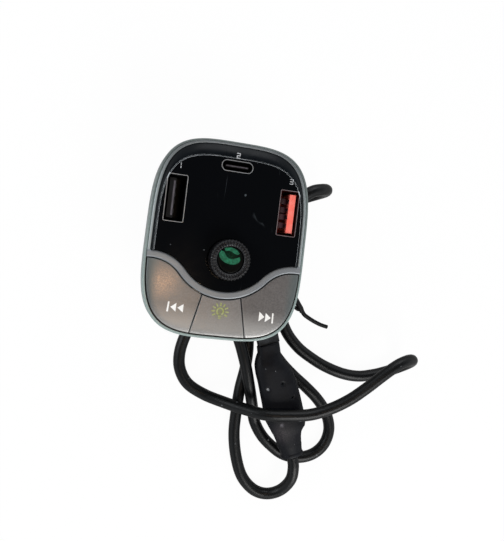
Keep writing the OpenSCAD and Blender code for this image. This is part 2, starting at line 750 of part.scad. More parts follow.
// Plug: collar at the cord, neck, flat grip, nose and metal tip
module plug_frame() { translate(plug_at) rotate([0, 0, plug_turn]) children(); }
module pill(y, w, t, lean = 0) {
    for (side = [-1, 1]) translate([side * (w - t) / 2, y - side * lean, 0]) sphere(d = t, $fn = small_fn);
}
module collar_bar(l) {
    rotate([-90, 0, 0]) linear_extrude(l) hull() for (side = [-1, 1])
        translate([side * (collar_w - collar_t) / 2, 0]) circle(d = collar_t, $fn = round_fn);
}
module plug_grip() {
    grip_end = grip_start + plug_l;
    color("#191a1d") plug_frame() {
        hull() {
            translate([0, collar_l, 0]) collar_bar(slack);
            pill(grip_start + neck_t / 2, neck_w, neck_t);
        }
        hull() {
            pill(grip_start + plug_t / 2 + grip_lean, plug_w, plug_t, grip_lean);
            pill(grip_start + plug_l * 0.45, plug_w - slack, plug_t, grip_lean);
            pill(grip_end - plug_t / 2 - grip_lean / 2, grip_front_w, plug_t, grip_lean);
        }
        hull() {
            pill(grip_end - plug_t / 2, nose_w, nose_t);
            translate([-nose_w / 2, grip_end + nose_l - slack, -nose_t / 2]) cube([nose_w, slack, nose_t]);
        }
    }
}
module plug_collar() {
    color("#191a1d") plug_frame() collar_bar(collar_l);
}
module plug_shell() {
    start = grip_start + plug_l + nose_l;
    color("#b4b7bb") plug_frame() difference() {
        translate([-tip_w / 2, start, -tip_t / 2]) cube([tip_w, tip_l, tip_t]);
        translate([-tip_w / 2 + tip_wall, start - over, -tip_t / 2 + tip_wall])
            cube([tip_w - 2 * tip_wall, tip_l + 2 * over, tip_t - 2 * tip_wall]);
    }
}
module plug_tongue() {
    start = grip_start + plug_l + nose_l;
    color("#26272a") plug_frame() translate([-tip_w / 4, start, -tip_wall])
        cube([tip_w / 2, tip_l - tip_wall, 2 * tip_wall]);
}

// Wire tie: a flat loop round two strands and its free end
module tie_shape(grow) {
    for (side = [-1, 1]) translate([side * tie_reach, 0]) circle(d = cord_d + 2 * grow, $fn = small_fn);
    square([2 * tie_reach, cord_d + 2 * grow], center = true);
}
module twist_tie() {
    color("#101113") {
        translate([tie_x, tie_y + tie_long / 2, tie_z]) rotate([90, 0, 0]) linear_extrude(tie_long) difference() {
            tie_shape(tie_slack + tie_d);
            tie_shape(tie_slack);
        }
        skin_of(tube_rings(tie_tail, tie_d, cord_sides, tie_tail[1] - tie_tail[0],
            tie_tail[len(tie_tail) - 1] - tie_tail[len(tie_tail) - 2]));
    }
}

rear_shell();
base_pad();
case_screws();
front_frame();
light_ring();
panel_frame();
face_panel();
display_lens();
display_module();
display_cable();
button_prev();
button_light();
button_next();
stem_prev();
stem_light();
stem_next();
tact_switches();
control_board();
volume_ring();
ring_rotor();
encoder_body();
call_cap();
call_stem();
call_switch();
usb_a_left_shell();
usb_a_left_tongue();
usb_a_left_contacts();
usb_a_right_shell();
usb_a_right_tongue();
usb_a_right_contacts();
usb_c_shell();
usb_c_tongue();
charge_board();
main_board();
board_pins();
power_coil();
capacitors();
radio_shield();
power_chip();
ring_leds();
microphone();
cord_gland();
supply_leads();
power_cord();
plug_grip();
plug_collar();
plug_shell();
plug_tongue();
twist_tie();
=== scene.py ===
import math

import bpy
import numpy as np
from mathutils import Matrix, Vector


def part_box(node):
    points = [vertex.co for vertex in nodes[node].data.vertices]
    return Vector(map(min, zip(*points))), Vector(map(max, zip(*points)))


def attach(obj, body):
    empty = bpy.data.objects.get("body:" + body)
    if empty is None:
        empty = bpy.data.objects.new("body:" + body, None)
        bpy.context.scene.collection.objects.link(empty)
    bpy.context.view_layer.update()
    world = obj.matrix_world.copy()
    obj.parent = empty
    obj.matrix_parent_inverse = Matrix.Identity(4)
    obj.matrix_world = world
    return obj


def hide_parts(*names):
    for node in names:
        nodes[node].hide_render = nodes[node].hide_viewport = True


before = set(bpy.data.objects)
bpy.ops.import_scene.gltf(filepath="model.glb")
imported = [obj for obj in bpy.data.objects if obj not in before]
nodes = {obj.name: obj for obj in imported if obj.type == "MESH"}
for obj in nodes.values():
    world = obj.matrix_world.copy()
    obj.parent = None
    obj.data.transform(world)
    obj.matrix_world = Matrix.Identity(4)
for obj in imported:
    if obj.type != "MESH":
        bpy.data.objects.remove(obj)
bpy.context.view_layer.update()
mm = 0.001
perMetre = 1 / mm  # turns a size in mm into a texture's scale
print("stage: frame loaded,", len(nodes), "nodes")

camera = {
    "place": (-34.295, -4.619, 209.669),  # mm
    "right": (0.96699, 0.12136, 0.22406),
    "back": (-0.2275, 0.0152, 0.9737),
    "lens": 43.25,  # mm on a 36 mm sensor, along the picture's long side
    "sensor": 36.0,
    "near": 0.01,  # m
    "far": 20,
}


def addObject(name, data):
    thing = bpy.data.objects.new(name, data)
    bpy.context.scene.collection.objects.link(thing)
    return thing


def addCamera():
    back = Vector(camera["back"]).normalized()
    up = back.cross(Vector(camera["right"])).normalized()
    turn = Matrix((up.cross(back), up, back)).transposed().to_4x4()
    data = bpy.data.cameras.new("camera")
    data.lens = camera["lens"]
    data.sensor_fit = "AUTO"
    data.sensor_width = camera["sensor"]
    data.clip_start, data.clip_end = camera["near"], camera["far"]
    thing = addObject("camera", data)
    thing.matrix_world = Matrix.Translation(Vector(camera["place"]) * mm) @ turn
    bpy.context.scene.camera = thing


addCamera()
print("stage: camera placed")


def gridFaces(rows, cols, wrapRows, wrapCols=True):
    # Quads between neighbours of a grid of points, numbered row by row
    r = np.arange(rows if wrapRows else rows - 1)[:, None]
    c = np.arange(cols if wrapCols else cols - 1)[None, :]
    nextRow, nextCol = (r + 1) % rows, (c + 1) % cols
    quads = [r * cols + c, r * cols + nextCol, nextRow * cols + nextCol, nextRow * cols + c]
    return np.stack(np.broadcast_arrays(*quads), -1).reshape(-1, 4).tolist()


def signedVolume(points, faces):
    # Sum over all fan triangles of a . (b x c) / 6
    total = 0.0
    for size in {len(f) for f in faces}:
        same = np.array([f for f in faces if len(f) == size])
        a, b, c = points[same[:, :1]], points[same[:, 1:-1]], points[same[:, 2:]]
        total += (a * np.cross(b, c)).sum() / 6
    return total


def pieceFrom(name, shells, finish, body="head", node=None, crease=35, uvs=None):
    # shells: closed ones, each its points in mm and its faces; node: the CAD node that the piece replaces
    allPoints, allFaces, start = [], [], 0
    for points, faces in shells:
        points = np.asarray(points, float).reshape(-1, 3)
        way = -1 if signedVolume(points, faces) < 0 else 1
        allPoints.append(points)
        allFaces += [[int(i) + start for i in f[::way]] for f in faces]
        start += len(points)
    mesh = bpy.data.meshes.new(name)
    mesh.from_pydata((np.concatenate(allPoints) * mm).tolist(), [], allFaces)
    mesh.validate()
    mesh.shade_smooth()
    mesh.set_sharp_from_angle(angle=math.radians(crease))
    if uvs is not None:
        layer = mesh.uv_layers.new(name="along")
        corner = np.empty(len(mesh.loops), int)
        mesh.loops.foreach_get("vertex_index", corner)
        layer.data.foreach_set("uv", uvs[corner].astype(np.float32).ravel())
    mesh.materials.append(finishes[finish])
    piece = addObject(name, mesh)
    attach(piece, body)
    if node:
        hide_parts(node)
    return piece


def shellOf(grid, wrapRows=False):
    # Closed shell of a grid of rings: quads between rings, and a flat face over each open end
    rows, cols = grid.shape[:2]
    faces = gridFaces(rows, cols, wrapRows)
    if not wrapRows:
        ring = list(range(cols))
        faces += [ring[::-1], [(rows - 1) * cols + i for i in ring]]
    return grid.reshape(-1, 3), faces


def lifted(flat, height):
    # A grid of points in the plane, each at its height
    return np.concatenate([flat, np.broadcast_to(height, flat.shape[:2])[..., None]], -1)


def between(first, second, share):
    # Ruled surface: points at each share of the way from one line to the other
    share = share[..., None]
    return first[:, None] * (1 - share) + second[:, None] * share


def quarterRound(radius, steps):
    # Quarter circle as (inset, drop) from a sharp corner: the side first, the top last
    a = np.linspace(0, math.pi / 2, steps)
    return radius * (1 - np.cos(a)), radius * (1 - np.sin(a))


def feed(tree, socket, source):
    # Links a socket to another node's output, or sets its plain value
    if isinstance(source, bpy.types.NodeSocket):
        tree.links.new(source, socket)
    else:
        socket.default_value = source


def put(tree, kind, links=(), **values):
    # Adds a node: values are its properties, links are pairs of a socket and what feeds it
    node = tree.nodes.new(kind)
    for key, value in values.items():
        setattr(node, key, value)
    for socket, source in links:
        feed(tree, node.inputs[socket], source)
    return node


def calc(tree, operation, *terms, clamp=False):
    return put(tree, "ShaderNodeMath", enumerate(terms), operation=operation, use_clamp=clamp).outputs[0]


def noise(tree, vector, scale, detail, rough=0.55, distortion=0.0):
    links = [("Vector", vector), ("Scale", scale), ("Detail", detail), ("Roughness", rough)]
    return put(tree, "ShaderNodeTexNoise", links + [("Distortion", distortion)]).outputs["Fac"]


def ramp(tree, value, low, high, outLow=0.0, outHigh=1.0):
    links = [("Value", value), ("From Min", low), ("From Max", high)]
    links += [("To Min", outLow), ("To Max", outHigh)]
    return put(tree, "ShaderNodeMapRange", links, interpolation_type="SMOOTHSTEP").outputs["Result"]


def xyz(tree, vector):
    return put(tree, "ShaderNodeSeparateXYZ", [("Vector", vector)]).outputs


def stretched(tree, vector, scale, turn=(0.0, 0.0, 0.0)):
    links = [("Vector", vector), ("Rotation", turn), ("Scale", scale)]
    return put(tree, "ShaderNodeMapping", links).outputs["Vector"]


def cells(tree, vector, size):
    # Random cells of a size in mm: distance to the middle, and two random numbers for each cell
    links = [("Vector", vector), ("Scale", calc(tree, "DIVIDE", perMetre, size))]
    cell = put(tree, "ShaderNodeTexVoronoi", links).outputs
    lot = put(tree, "ShaderNodeSeparateColor", [("Color", cell["Color"])]).outputs
    return cell["Distance"], lot["Red"], lot["Green"]


def hexColour(text):
    # sRGB hex to linear
    c = np.array([int(text[i : i + 2], 16) for i in (1, 3, 5)]) / 255
    lin = np.where(c <= 0.04045, c / 12.92, ((c + 0.055) / 1.055) ** 2.4)
    return (*lin.tolist(), 1.0)


def mixColour(tree, share, first, second):
    # Each of the two colours is another node's output or an sRGB hex text
    pair = [hexColour(v) if isinstance(v, str) else v for v in (first, second)]
    return put(tree, "ShaderNodeMix", zip((0, 6, 7), (share, *pair)), data_type="RGBA").outputs[2]


def newGroup(name, inputs, outputs):
    tree = bpy.data.node_groups.new(name, "ShaderNodeTree")
    tree.interface.new_socket("Vector", in_out="INPUT", socket_type="NodeSocketVector")
    for label, value in inputs.items():
        socket = tree.interface.new_socket(label, in_out="INPUT", socket_type="NodeSocketFloat")
        socket.default_value = value
    for label in outputs:
        tree.interface.new_socket(label, in_out="OUTPUT", socket_type="NodeSocketFloat")
    return tree, tree.nodes.new("NodeGroupInput").outputs, tree.nodes.new("NodeGroupOutput").inputs


def makeFineGrain():
    # Moulded grain: Height is fine noise, Mottle is broad noise for colour and gloss
    tree, a, z = newGroup("fineGrain", {"grain": 0.2, "patch": 6.0}, ["Height", "Mottle"])
    fine = noise(tree, a["Vector"], calc(tree, "DIVIDE", perMetre, a["grain"]), 4.0, 0.6)
    broad = noise(tree, a["Vector"], calc(tree, "DIVIDE", perMetre, a["patch"]), 3.0, 0.6, 0.4)
    feed(tree, z["Height"], fine)
    feed(tree, z["Mottle"], ramp(tree, broad, 0.3, 0.7))
    return tree


def makeDustSpecks():
    # Specks: the middle of each cell, out to a random share of the amount
    tree, a, z = newGroup("dustSpecks", {"spacing": 2.0, "amount": 0.1}, ["Mask"])
    distance, lot, _ = cells(tree, a["Vector"], a["spacing"])
    chosen = calc(tree, "MULTIPLY", calc(tree, "POWER", lot, 4.0), a["amount"])
    feed(tree, z["Mask"], ramp(tree, calc(tree, "SUBTRACT", chosen, distance), 0.0, 0.03))
    return tree


def makeHairScratches():
    # Scratches: thin level lines of a stretched noise, broken up by a broad one
    tree, a, z = newGroup("hairScratches", {"spacing": 5.0, "width": 0.01, "share": 0.4}, ["Mask"])
    scale = calc(tree, "DIVIDE", perMetre, a["spacing"])
    level = noise(tree, stretched(tree, a["Vector"], (1.0, 0.12, 1.0), (0.0, 0.0, 0.35)), scale, 1.0, 0.4)
    near = calc(tree, "ABSOLUTE", calc(tree, "SUBTRACT", level, 0.5))
    line = ramp(tree, near, 0.0, a["width"], 1.0, 0.0)
    patch = noise(tree, a["Vector"], calc(tree, "MULTIPLY", scale, 0.9), 2.0)
    low = calc(tree, "SUBTRACT", 0.7, calc(tree, "MULTIPLY", a["share"], 0.4))
    feed(tree, z["Mask"], calc(tree, "MULTIPLY", line, ramp(tree, patch, low, 0.72)))
    return tree


def makeMetalFlake():
    # Metal-look paint: each small cell has its own brightness and height
    tree, a, z = newGroup("metalFlake", {"flake": 0.25}, ["Glint", "Height"])
    _, glint, height = cells(tree, a["Vector"], a["flake"])
    feed(tree, z["Glint"], glint)
    feed(tree, z["Height"], height)
    return tree


groups = {
    "grain": makeFineGrain(),
    "dust": makeDustSpecks(),
    "scratch": makeHairScratches(),
    "flake": makeMetalFlake(),
}


def useGroup(tree, kind, vector, **values):
    links = [("Vector", vector), *values.items()]
    return put(tree, "ShaderNodeGroup", links, node_tree=groups[kind]).outputs


def newMaterial(name):
    material = bpy.data.materials.new(name)
    material.use_nodes = True
    tree = material.node_tree
    return material, tree, tree.nodes["Principled BSDF"], put(tree, "ShaderNodeTexCoord").outputs["Object"]


shaderSockets = {
    "tint": "Base Color", "rough": "Roughness", "metal": "Metallic", "specular": "Specular IOR Level",
    "coat": "Coat Weight", "coatRough": "Coat Roughness",
}


def dress(tree, shader, height, depth, **values):
    # The shader's own sockets, and a bump with its depth in mm
    for key, value in values.items():
        feed(tree, shader.inputs[shaderSockets[key]], value)
    bump = put(tree, "ShaderNodeBump", [("Height", height), ("Distance", depth * mm), ("Strength", 1.0)])
    feed(tree, shader.inputs["Normal"], bump.outputs["Normal"])


sparkle = {"scale": 2600.0, "low": 0.4, "high": 0.62, "least": 0.35}
dustColour = "#8f9296"


def withPaintedLight(tree, coords, tint, halo):
    # Painted light: another colour round a place in mm, fading out over a radius, standing in for glows,
    # highlights, shade and reflections
    place, radius, colour, amount = halo
    grain = noise(tree, coords, sparkle["scale"], 2.0)
    grain = ramp(tree, grain, sparkle["low"], sparkle["high"], sparkle["least"])
    links = [(0, coords), (1, tuple(v * mm for v in place))]
    far = put(tree, "ShaderNodeVectorMath", links, operation="DISTANCE").outputs["Value"]
    share = calc(tree, "MULTIPLY", grain, ramp(tree, far, 0.0, radius * mm, amount, 0.0))
    return mixColour(tree, share, tint, colour)


def plastic(name, colour, worn, rough, roughSpan=0.08, grain=0.2, depth=0.01, patch=6.0, metal=0.0,
            specular=0.5, coat=0.0, dust=0.0, dustSpacing=1.6, glow=()):
    # Moulded or metal surface: two close colours in patches, grain in the bump, a little dust, and painted
    # light laid on as halos
    material, tree, shader, coords = newMaterial(name)
    skin = useGroup(tree, "grain", coords, grain=grain, patch=patch)
    tint = mixColour(tree, skin["Mottle"], colour, worn)
    if dust:
        specks = useGroup(tree, "dust", coords, spacing=dustSpacing, amount=dust)
        tint = mixColour(tree, specks["Mask"], tint, dustColour)
    for halo in glow:
        tint = withPaintedLight(tree, coords, tint, halo)
    gloss = ramp(tree, skin["Mottle"], 0.0, 1.0, rough - roughSpan / 2, rough + roughSpan / 2)
    dress(tree, shader, skin["Height"], depth, tint=tint, rough=gloss, metal=metal, specular=specular,
          coat=coat, coatRough=0.1)
    return material


flakes = {
    "rough": 0.34, "roughSpan": 0.12, "flake": 0.28, "spread": 0.9, "grain": 0.35, "patch": 9.0,
    "mottle": 0.25, "depth": 0.016, "metal": 0.35,
    "paleFrom": -18, "paleTo": -27, "pale": 0.75,  # mm up the face, then the share of the painted highlight's paler colour
    "sideShadeFrom": 17.9, "sideShadeTo": 20.7, "side": 0.8, "sideShadeColour": "#616969",  # mm from the middle, share of the painted shade along the sides
}


def flakePaint(name, low, high, pale, glow=()):
    # Metal-look paint of the buttons: fine flakes over a satin base, with a painted highlight paler towards
    # the lower rim of the face, painted shade greyer along both its sides, and painted light laid on as halos
    s = flakes
    material, tree, shader, coords = newMaterial(name)
    flake = useGroup(tree, "flake", coords, flake=s["flake"])
    skin = useGroup(tree, "grain", coords, grain=s["grain"], patch=s["patch"])
    glint = calc(tree, "MULTIPLY_ADD", flake["Glint"], s["spread"], (1 - s["spread"]) / 2)
    glint = calc(tree, "MULTIPLY", glint, 1 - s["mottle"])
    share = calc(tree, "MULTIPLY_ADD", skin["Mottle"], s["mottle"], glint, clamp=True)
    place = xyz(tree, coords)
    tint = mixColour(tree, share, low, high)
    # painted highlight: paler towards the lower rim of the face
    paler = ramp(tree, place["Y"], s["paleTo"] * mm, s["paleFrom"] * mm, s["pale"], 0.0)
    tint = mixColour(tree, paler, tint, pale)
    for halo in glow:
        tint = withPaintedLight(tree, coords, tint, halo)
    # painted shade: greyer along both sides of the face
    side = calc(tree, "ABSOLUTE", place["X"])
    side = ramp(tree, side, s["sideShadeFrom"] * mm, s["sideShadeTo"] * mm, 0.0, s["side"])
    tint = mixColour(tree, side, tint, s["sideShadeColour"])
    half = s["roughSpan"] / 2
    gloss = ramp(tree, flake["Glint"], 0.0, 1.0, s["rough"] - half, s["rough"] + half)
    height = calc(tree, "MULTIPLY_ADD", flake["Height"], 0.5, skin["Height"])
    dress(tree, shader, height, s["depth"], tint=tint, rough=gloss, metal=s["metal"])
    return material


def glossLens(name, colour, marked, rough, specular):
    # Dark lens: almost black, with hair scratches, dust specks and faint wiped patches
    material, tree, shader, coords = newMaterial(name)
    skin = useGroup(tree, "grain", coords, grain=0.8, patch=14.0)
    hair = useGroup(tree, "scratch", coords, spacing=9.0, width=0.004, share=0.35)
    specks = useGroup(tree, "dust", coords, spacing=3.2, amount=0.12)
    marks = [calc(tree, "MULTIPLY", hair["Mask"], 0.35), calc(tree, "MULTIPLY", specks["Mask"], 0.5)]
    marks = calc(tree, "MAXIMUM", *marks)
    gloss = calc(tree, "MULTIPLY_ADD", marks, 0.5, rough)
    gloss = calc(tree, "MULTIPLY_ADD", skin["Mottle"], 0.05, gloss, clamp=True)
    tint = mixColour(tree, marks, colour, marked)
    dress(tree, shader, hair["Mask"], -0.004, tint=tint, rough=gloss, specular=specular)
    return material


def cordSkin(name, colour, worn, dusty, rough, specular):
    # Cord jacket: faint rings across and long scuffs along, both on the tube's own UV
    material, tree, shader, coords = newMaterial(name)
    along = put(tree, "ShaderNodeUVMap", uv_map="along").outputs["UV"]
    scuff = noise(tree, stretched(tree, along, (9.0, 60.0, 1.0)), 1.0, 3.0, 0.6)
    ripple = noise(tree, stretched(tree, along, (1.0, 900.0, 1.0)), 1.0, 2.0, 0.5)
    skin = useGroup(tree, "grain", coords, grain=0.15, patch=9.0)
    specks = useGroup(tree, "dust", coords, spacing=2.2, amount=0.16)
    scuffed = calc(tree, "MULTIPLY", ramp(tree, scuff, 0.45, 0.8), skin["Mottle"])
    tint = mixColour(tree, scuffed, colour, worn)
    tint = mixColour(tree, calc(tree, "MULTIPLY", specks["Mask"], 0.6), tint, dusty)
    gloss = calc(tree, "MULTIPLY_ADD", scuff, 0.16, rough - 0.08)
    height = calc(tree, "MULTIPLY_ADD", ripple, 0.5, skin["Height"])
    dress(tree, shader, height, 0.03, tint=tint, rough=gloss, specular=specular)
    return material


def ringSkin(name, low, high, patchy, rough):
    # Translucent ring: painted light and shade, paler towards the lower end of the face and darker towards
    # the top, with greyer patches
    material, tree, shader, coords = newMaterial(name)
    skin = useGroup(tree, "grain", coords, grain=0.5, patch=7.0)
    # painted light and shade: paler at the lower end, darker at the top
    tint = mixColour(tree, ramp(tree, xyz(tree, coords)["Y"], -0.024, 0.024), low, high)
    tint = mixColour(tree, calc(tree, "MULTIPLY", skin["Mottle"], 0.25), tint, patchy)
    dress(tree, shader, skin["Height"], 0.01, tint=tint, rough=rough, coat=0.25, coatRough=0.15)
    return material


def bandPaint(name, band, trim, trimTop, patchy, rough, metal):
    # Silver frame: the piece's own UV says which of its two strips is the trim, which darkens upwards in
    # painted shade
    material, tree, shader, coords = newMaterial(name)
    mark = xyz(tree, put(tree, "ShaderNodeUVMap", uv_map="along").outputs["UV"])["X"]
    skin = useGroup(tree, "grain", coords, grain=0.16, patch=4.0)
    fine = calc(tree, "MULTIPLY", skin["Mottle"], 0.5)
    # painted shade: the trim darker towards the top of the face
    trimWithPaintedShade = mixColour(tree, ramp(tree, xyz(tree, coords)["Y"], 0.006, 0.027), trim, trimTop)
    tint = mixColour(tree, mark, band, trimWithPaintedShade)
    tint = mixColour(tree, calc(tree, "MULTIPLY", fine, 0.3), tint, patchy)
    gloss = calc(tree, "MULTIPLY_ADD", fine, 0.12, rough)
    dress(tree, shader, skin["Height"], 0.01, tint=tint, rough=gloss, metal=metal)
    return material


# upper ends of the port shells in mm: middle beside the face's middle line, half size, corner radius
portShapes = {
    "large": {"middle": (16.225, 10.0), "half": (2.875, 6.6), "corner": 0.5},
    "small": {"middle": (0, 21.075), "half": (4.55, 1.6), "corner": 1.57},
    "level": 29.79, "rise": 0.03, "blur": 0.05,
}


def shadedPortShell(name, shape, rim, inside, edge):
    # Port shell: pale steel in a thin line along its outer edge, above a height; dark painted shade further
    # in.
    # The line is where the distance to a rounded rectangle round |x| and y is under its width.
    s, level = portShapes[shape], portShapes["level"]
    material, tree, shader, coords = newMaterial(name)
    place = xyz(tree, coords)
    over, out = [], []
    for v, middle, half in zip((calc(tree, "ABSOLUTE", place["X"]), place["Y"]), s["middle"], s["half"]):
        away = calc(tree, "ABSOLUTE", calc(tree, "SUBTRACT", v, middle * mm))
        over.append(calc(tree, "SUBTRACT", away, (half - s["corner"]) * mm))
        out.append(calc(tree, "MAXIMUM", over[-1], 0.0))
    square = calc(tree, "MULTIPLY_ADD", out[0], out[0], calc(tree, "MULTIPLY", out[1], out[1]))
    inner = calc(tree, "MINIMUM", calc(tree, "MAXIMUM", *over), 0.0)
    reach = calc(tree, "ADD", calc(tree, "SQRT", square), inner)
    low, high = (s["corner"] - edge + blur for blur in (-portShapes["blur"], portShapes["blur"]))
    top = ramp(tree, place["Z"], (level - portShapes["rise"]) * mm, level * mm)
    shown = calc(tree, "MULTIPLY", ramp(tree, reach, low * mm, high * mm), top)
    skin = useGroup(tree, "grain", coords, grain=0.3, patch=1.5)
    worn = calc(tree, "MULTIPLY_ADD", skin["Mottle"], -0.35, 1.0)
    # painted shade: dark inside the port, away from the steel line
    tint = mixColour(tree, calc(tree, "MULTIPLY", shown, worn), inside, rim)
    gloss = calc(tree, "MULTIPLY_ADD", skin["Mottle"], 0.15, 0.35)
    metal = calc(tree, "MULTIPLY", shown, 0.6)
    dress(tree, shader, skin["Height"], 0.006, tint=tint, rough=gloss, metal=metal, specular=0.15)
    return material


# painted light laid on as halos, for glows, highlights, shade and reflections: place and radius in mm,
# colour, share
paintedLights = {
    # cap: a painted dark green glow round the call sign
    "cap": [((0.2, -3.9, 34.0), 3.6, "#08301f", 0.8)],
    # left button: a painted warm reflection
    "warmReflection": [((-17.2, -13.2, 29.3), 6.5, "#c4a58c", 0.75)],
    # light button: a painted yellow-green glow round its sign
    "lightSignGlow": [((0.1, -20.1, 29.3), 2.9, "#7b8236", 0.6)],
    # grip: painted grey sheen on the neck's left, painted purple shade on its right, a painted highlight by
    # the cord and a painted glint in a dimple
    "grip": [
        ((28.8, -58.8, 10), 5.2, "#343033", 0.95), ((33.4, -59.2, 10), 3.2, "#0d0c14", 0.85),
        ((28.4, -56.1, 10), 1.0, "#77737a", 0.9), ((22.4, -45.0, 9.6), 0.7, "#dfe2e5", 1.0),
    ],
}
# colour, second colour, roughness, and what isn't as usual
plastics = {
    "shellPlastic": ("#1f2123", "#2a2c2f", 0.52, dict(grain=0.25, depth=0.03, dust=0.1)),
    "padRubber": ("#141516", "#1f2021", 0.8, dict(grain=0.35, depth=0.05, dust=0.14)),
    "screwSteel": ("#9fa2a6", "#7f8286", 0.3, dict(grain=0.4, metal=1.0)),
    "lipPlastic": ("#0e0f11", "#16171a", 0.45, dict()),
    "panelPlastic": ("#090c10", "#0c1014", 0.3,
                     dict(grain=0.4, depth=0.004, patch=8.0, specular=0.12, dust=0.05)),
    # painted highlight: the lens's bevel pale
    "lensEdgeHighlight": ("#c3c7ca", "#9da2a6", 0.2, dict(roughSpan=0.1, grain=0.4, depth=0.002, patch=5.0)),
    "tongueBlack": ("#08080a", "#0d0d0f", 0.5, dict(grain=0.3, specular=0.2)),
    # painted highlight: the pale lines on the tongues
    "tongueGrey": ("#4a464b", "#5c575c", 0.5, dict(grain=0.3, patch=1.5, specular=0.2)),
    "tongueRed": ("#fb6f60", "#ff877a", 0.42, dict(grain=0.3, patch=3.0)),
    "contactGold": ("#c9a65c", "#a98849", 0.3, dict(depth=0.004, metal=1.0)),
    # painted shade: the right port's leaves dark purple, deep in the port beside the red tongue
    "contactShaded": ("#472c33", "#2e1a1e", 0.45, dict(depth=0.004, metal=0.3)),
    "knobPlastic": ("#0a0a0c", "#151417", 0.3,
                    dict(grain=0.15, patch=1.5, specular=0.3, dust=0.16, dustSpacing=1.2)),
    "capPlastic": ("#020303", "#050606", 0.35,
                   dict(grain=0.25, depth=0.006, patch=3.0, specular=0.06, dust=0.05, glow=paintedLights["cap"])),
    "printGreen": ("#08452f", "#176b4c", 0.45, dict(depth=0.004, patch=0.7, specular=0.3)),
    "printWhite": ("#f4f2ef", "#e6e3de", 0.5, dict(depth=0.004, patch=1.5)),
    "printGrey": ("#9fa1a4", "#c2c3c5", 0.5, dict(depth=0.004, patch=0.7)),
    "printLime": ("#a3a878", "#8e9449", 0.5, dict(depth=0.004, patch=0.7)),
    "gripPlastic": ("#05060b", "#090b11", 0.48,
                    dict(grain=0.3, depth=0.03, patch=3.0, specular=0.18, dust=0.1, glow=paintedLights["grip"])),
    "tipSteel": ("#26282b", "#3a3d41", 0.4,
                 dict(grain=0.3, patch=2.0, metal=0.7, specular=0.3)),
    "tieCoat": ("#040405", "#08090a", 0.5, dict(specular=0.2)),
    "boardGreen": ("#14502f", "#1b613b", 0.4, dict(grain=0.6, patch=4.0, coat=0.3)),
    "chipBlack": ("#141416", "#1d1d20", 0.5, dict()),
    "partIvory": ("#d6d1c2", "#c8c2b2", 0.5, dict(grain=0.4)),
    "partGrey": ("#45484d", "#383b40", 0.45, dict(grain=0.3)),
    "shieldTin": ("#aeb2b6", "#9a9ea3", 0.35, dict(grain=0.5, metal=1.0)),
    "coilFerrite": ("#38383b", "#2c2c2f", 0.65, dict(grain=0.4, depth=0.03)),
    "ledLens": ("#efe9b0", "#e3dc9c", 0.3, dict(grain=0.3, depth=0.005)),
    "ribbonAmber": ("#b0762c", "#9c6624", 0.35, dict(grain=0.3, depth=0.005, coat=0.3)),
    "leadRed": ("#8c1f1a", "#7a1814", 0.45, dict()),
    "screenGlass": ("#15181e", "#1a1e26", 0.2, dict(grain=0.5, depth=0.004)),
}
finishes = {name: plastic(name, *plain, **rest) for name, (*plain, rest) in plastics.items()}
finishes |= {
    # ring: the painted light's paler colour below, the painted shade's darker colour at the top, then the
    # patches
    "ringPlastic": ringSkin("ringPlastic", "#8b9b98", "#5c6362", "#6f7b79", 0.32),
    # band: the trim's colour below, then its painted shade towards the top
    "bandSilver": bandPaint("bandSilver", "#85898d", "#a9b3b5", "#6d7173", "#6b6f74", 0.34, 0.35),
    "lensAcrylic": glossLens("lensAcrylic", "#060709", "#5a6066", 0.06, 0.18),
    # ports: steel line colour, then the painted shade inside (dark red in the right port, painted shade with
    # the red tongue's reflection), then the line's width in mm
    "portSteel": shadedPortShell("portSteel", "large", "#c4c6c9", "#060708", 0.17),
    "redPortSteel": shadedPortShell("redPortSteel", "large", "#aa9da2", "#240807", 0.15),
    "smallPortSteel": shadedPortShell("smallPortSteel", "small", "#c4c6c9", "#060708", 0.17),
    # buttons: two flake colours, then the painted highlight's paler colour towards the lower rim
    "buttonPaint": flakePaint("buttonPaint", "#605d5c", "#716e6d", "#bdbcba"),
    "buttonPaintWarmReflection": flakePaint("buttonPaintWarmReflection", "#6e6a67", "#827d79", "#acaba9", paintedLights["warmReflection"]),
    "buttonPaintSignGlow": flakePaint("buttonPaintSignGlow", "#757270", "#878482", "#9c9b99", paintedLights["lightSignGlow"]),
    "cordJacket": cordSkin("cordJacket", "#060708", "#141517", "#6c6f72", 0.34, 0.25),
}
nodeFinishes = {
    "shellPlastic": "rear_shell", "padRubber": "base_pad cord_gland", "screwSteel": "case_screws",
    "lipPlastic": "front_frame", "ringPlastic": "light_ring", "bandSilver": "panel_frame",
    "panelPlastic": "face_panel", "lensAcrylic": "display_lens", "screenGlass": "display_module",
    "ribbonAmber": "display_cable", "buttonPaint": "button_prev button_light button_next",
    "partIvory": "stem_prev stem_light stem_next ring_rotor call_stem",
    "partGrey": "tact_switches encoder_body call_switch",
    "boardGreen": "control_board charge_board main_board",
    "knobPlastic": "volume_ring", "capPlastic": "call_cap", "portSteel": "usb_a_left_shell",
    "redPortSteel": "usb_a_right_shell", "smallPortSteel": "usb_c_shell",
    "tongueBlack": "usb_a_left_tongue usb_c_tongue", "tongueRed": "usb_a_right_tongue",
    # the left port's contacts take the chip black as painted shade
    "chipBlack": "usb_a_left_contacts power_chip plug_tongue", "contactShaded": "usb_a_right_contacts",
    "contactGold": "board_pins", "coilFerrite": "power_coil",
    "shieldTin": "capacitors radio_shield microphone",
    "ledLens": "ring_leds", "leadRed": "supply_leads", "cordJacket": "power_cord",
    "gripPlastic": "plug_grip plug_collar", "tipSteel": "plug_shell", "tieCoat": "twist_tie",
}
for finish, names in nodeFinishes.items():
    for nodeName in names.split():
        for materialSlot in nodes[nodeName].material_slots:
            materialSlot.material = finishes[finish]
print("stage: materials made")

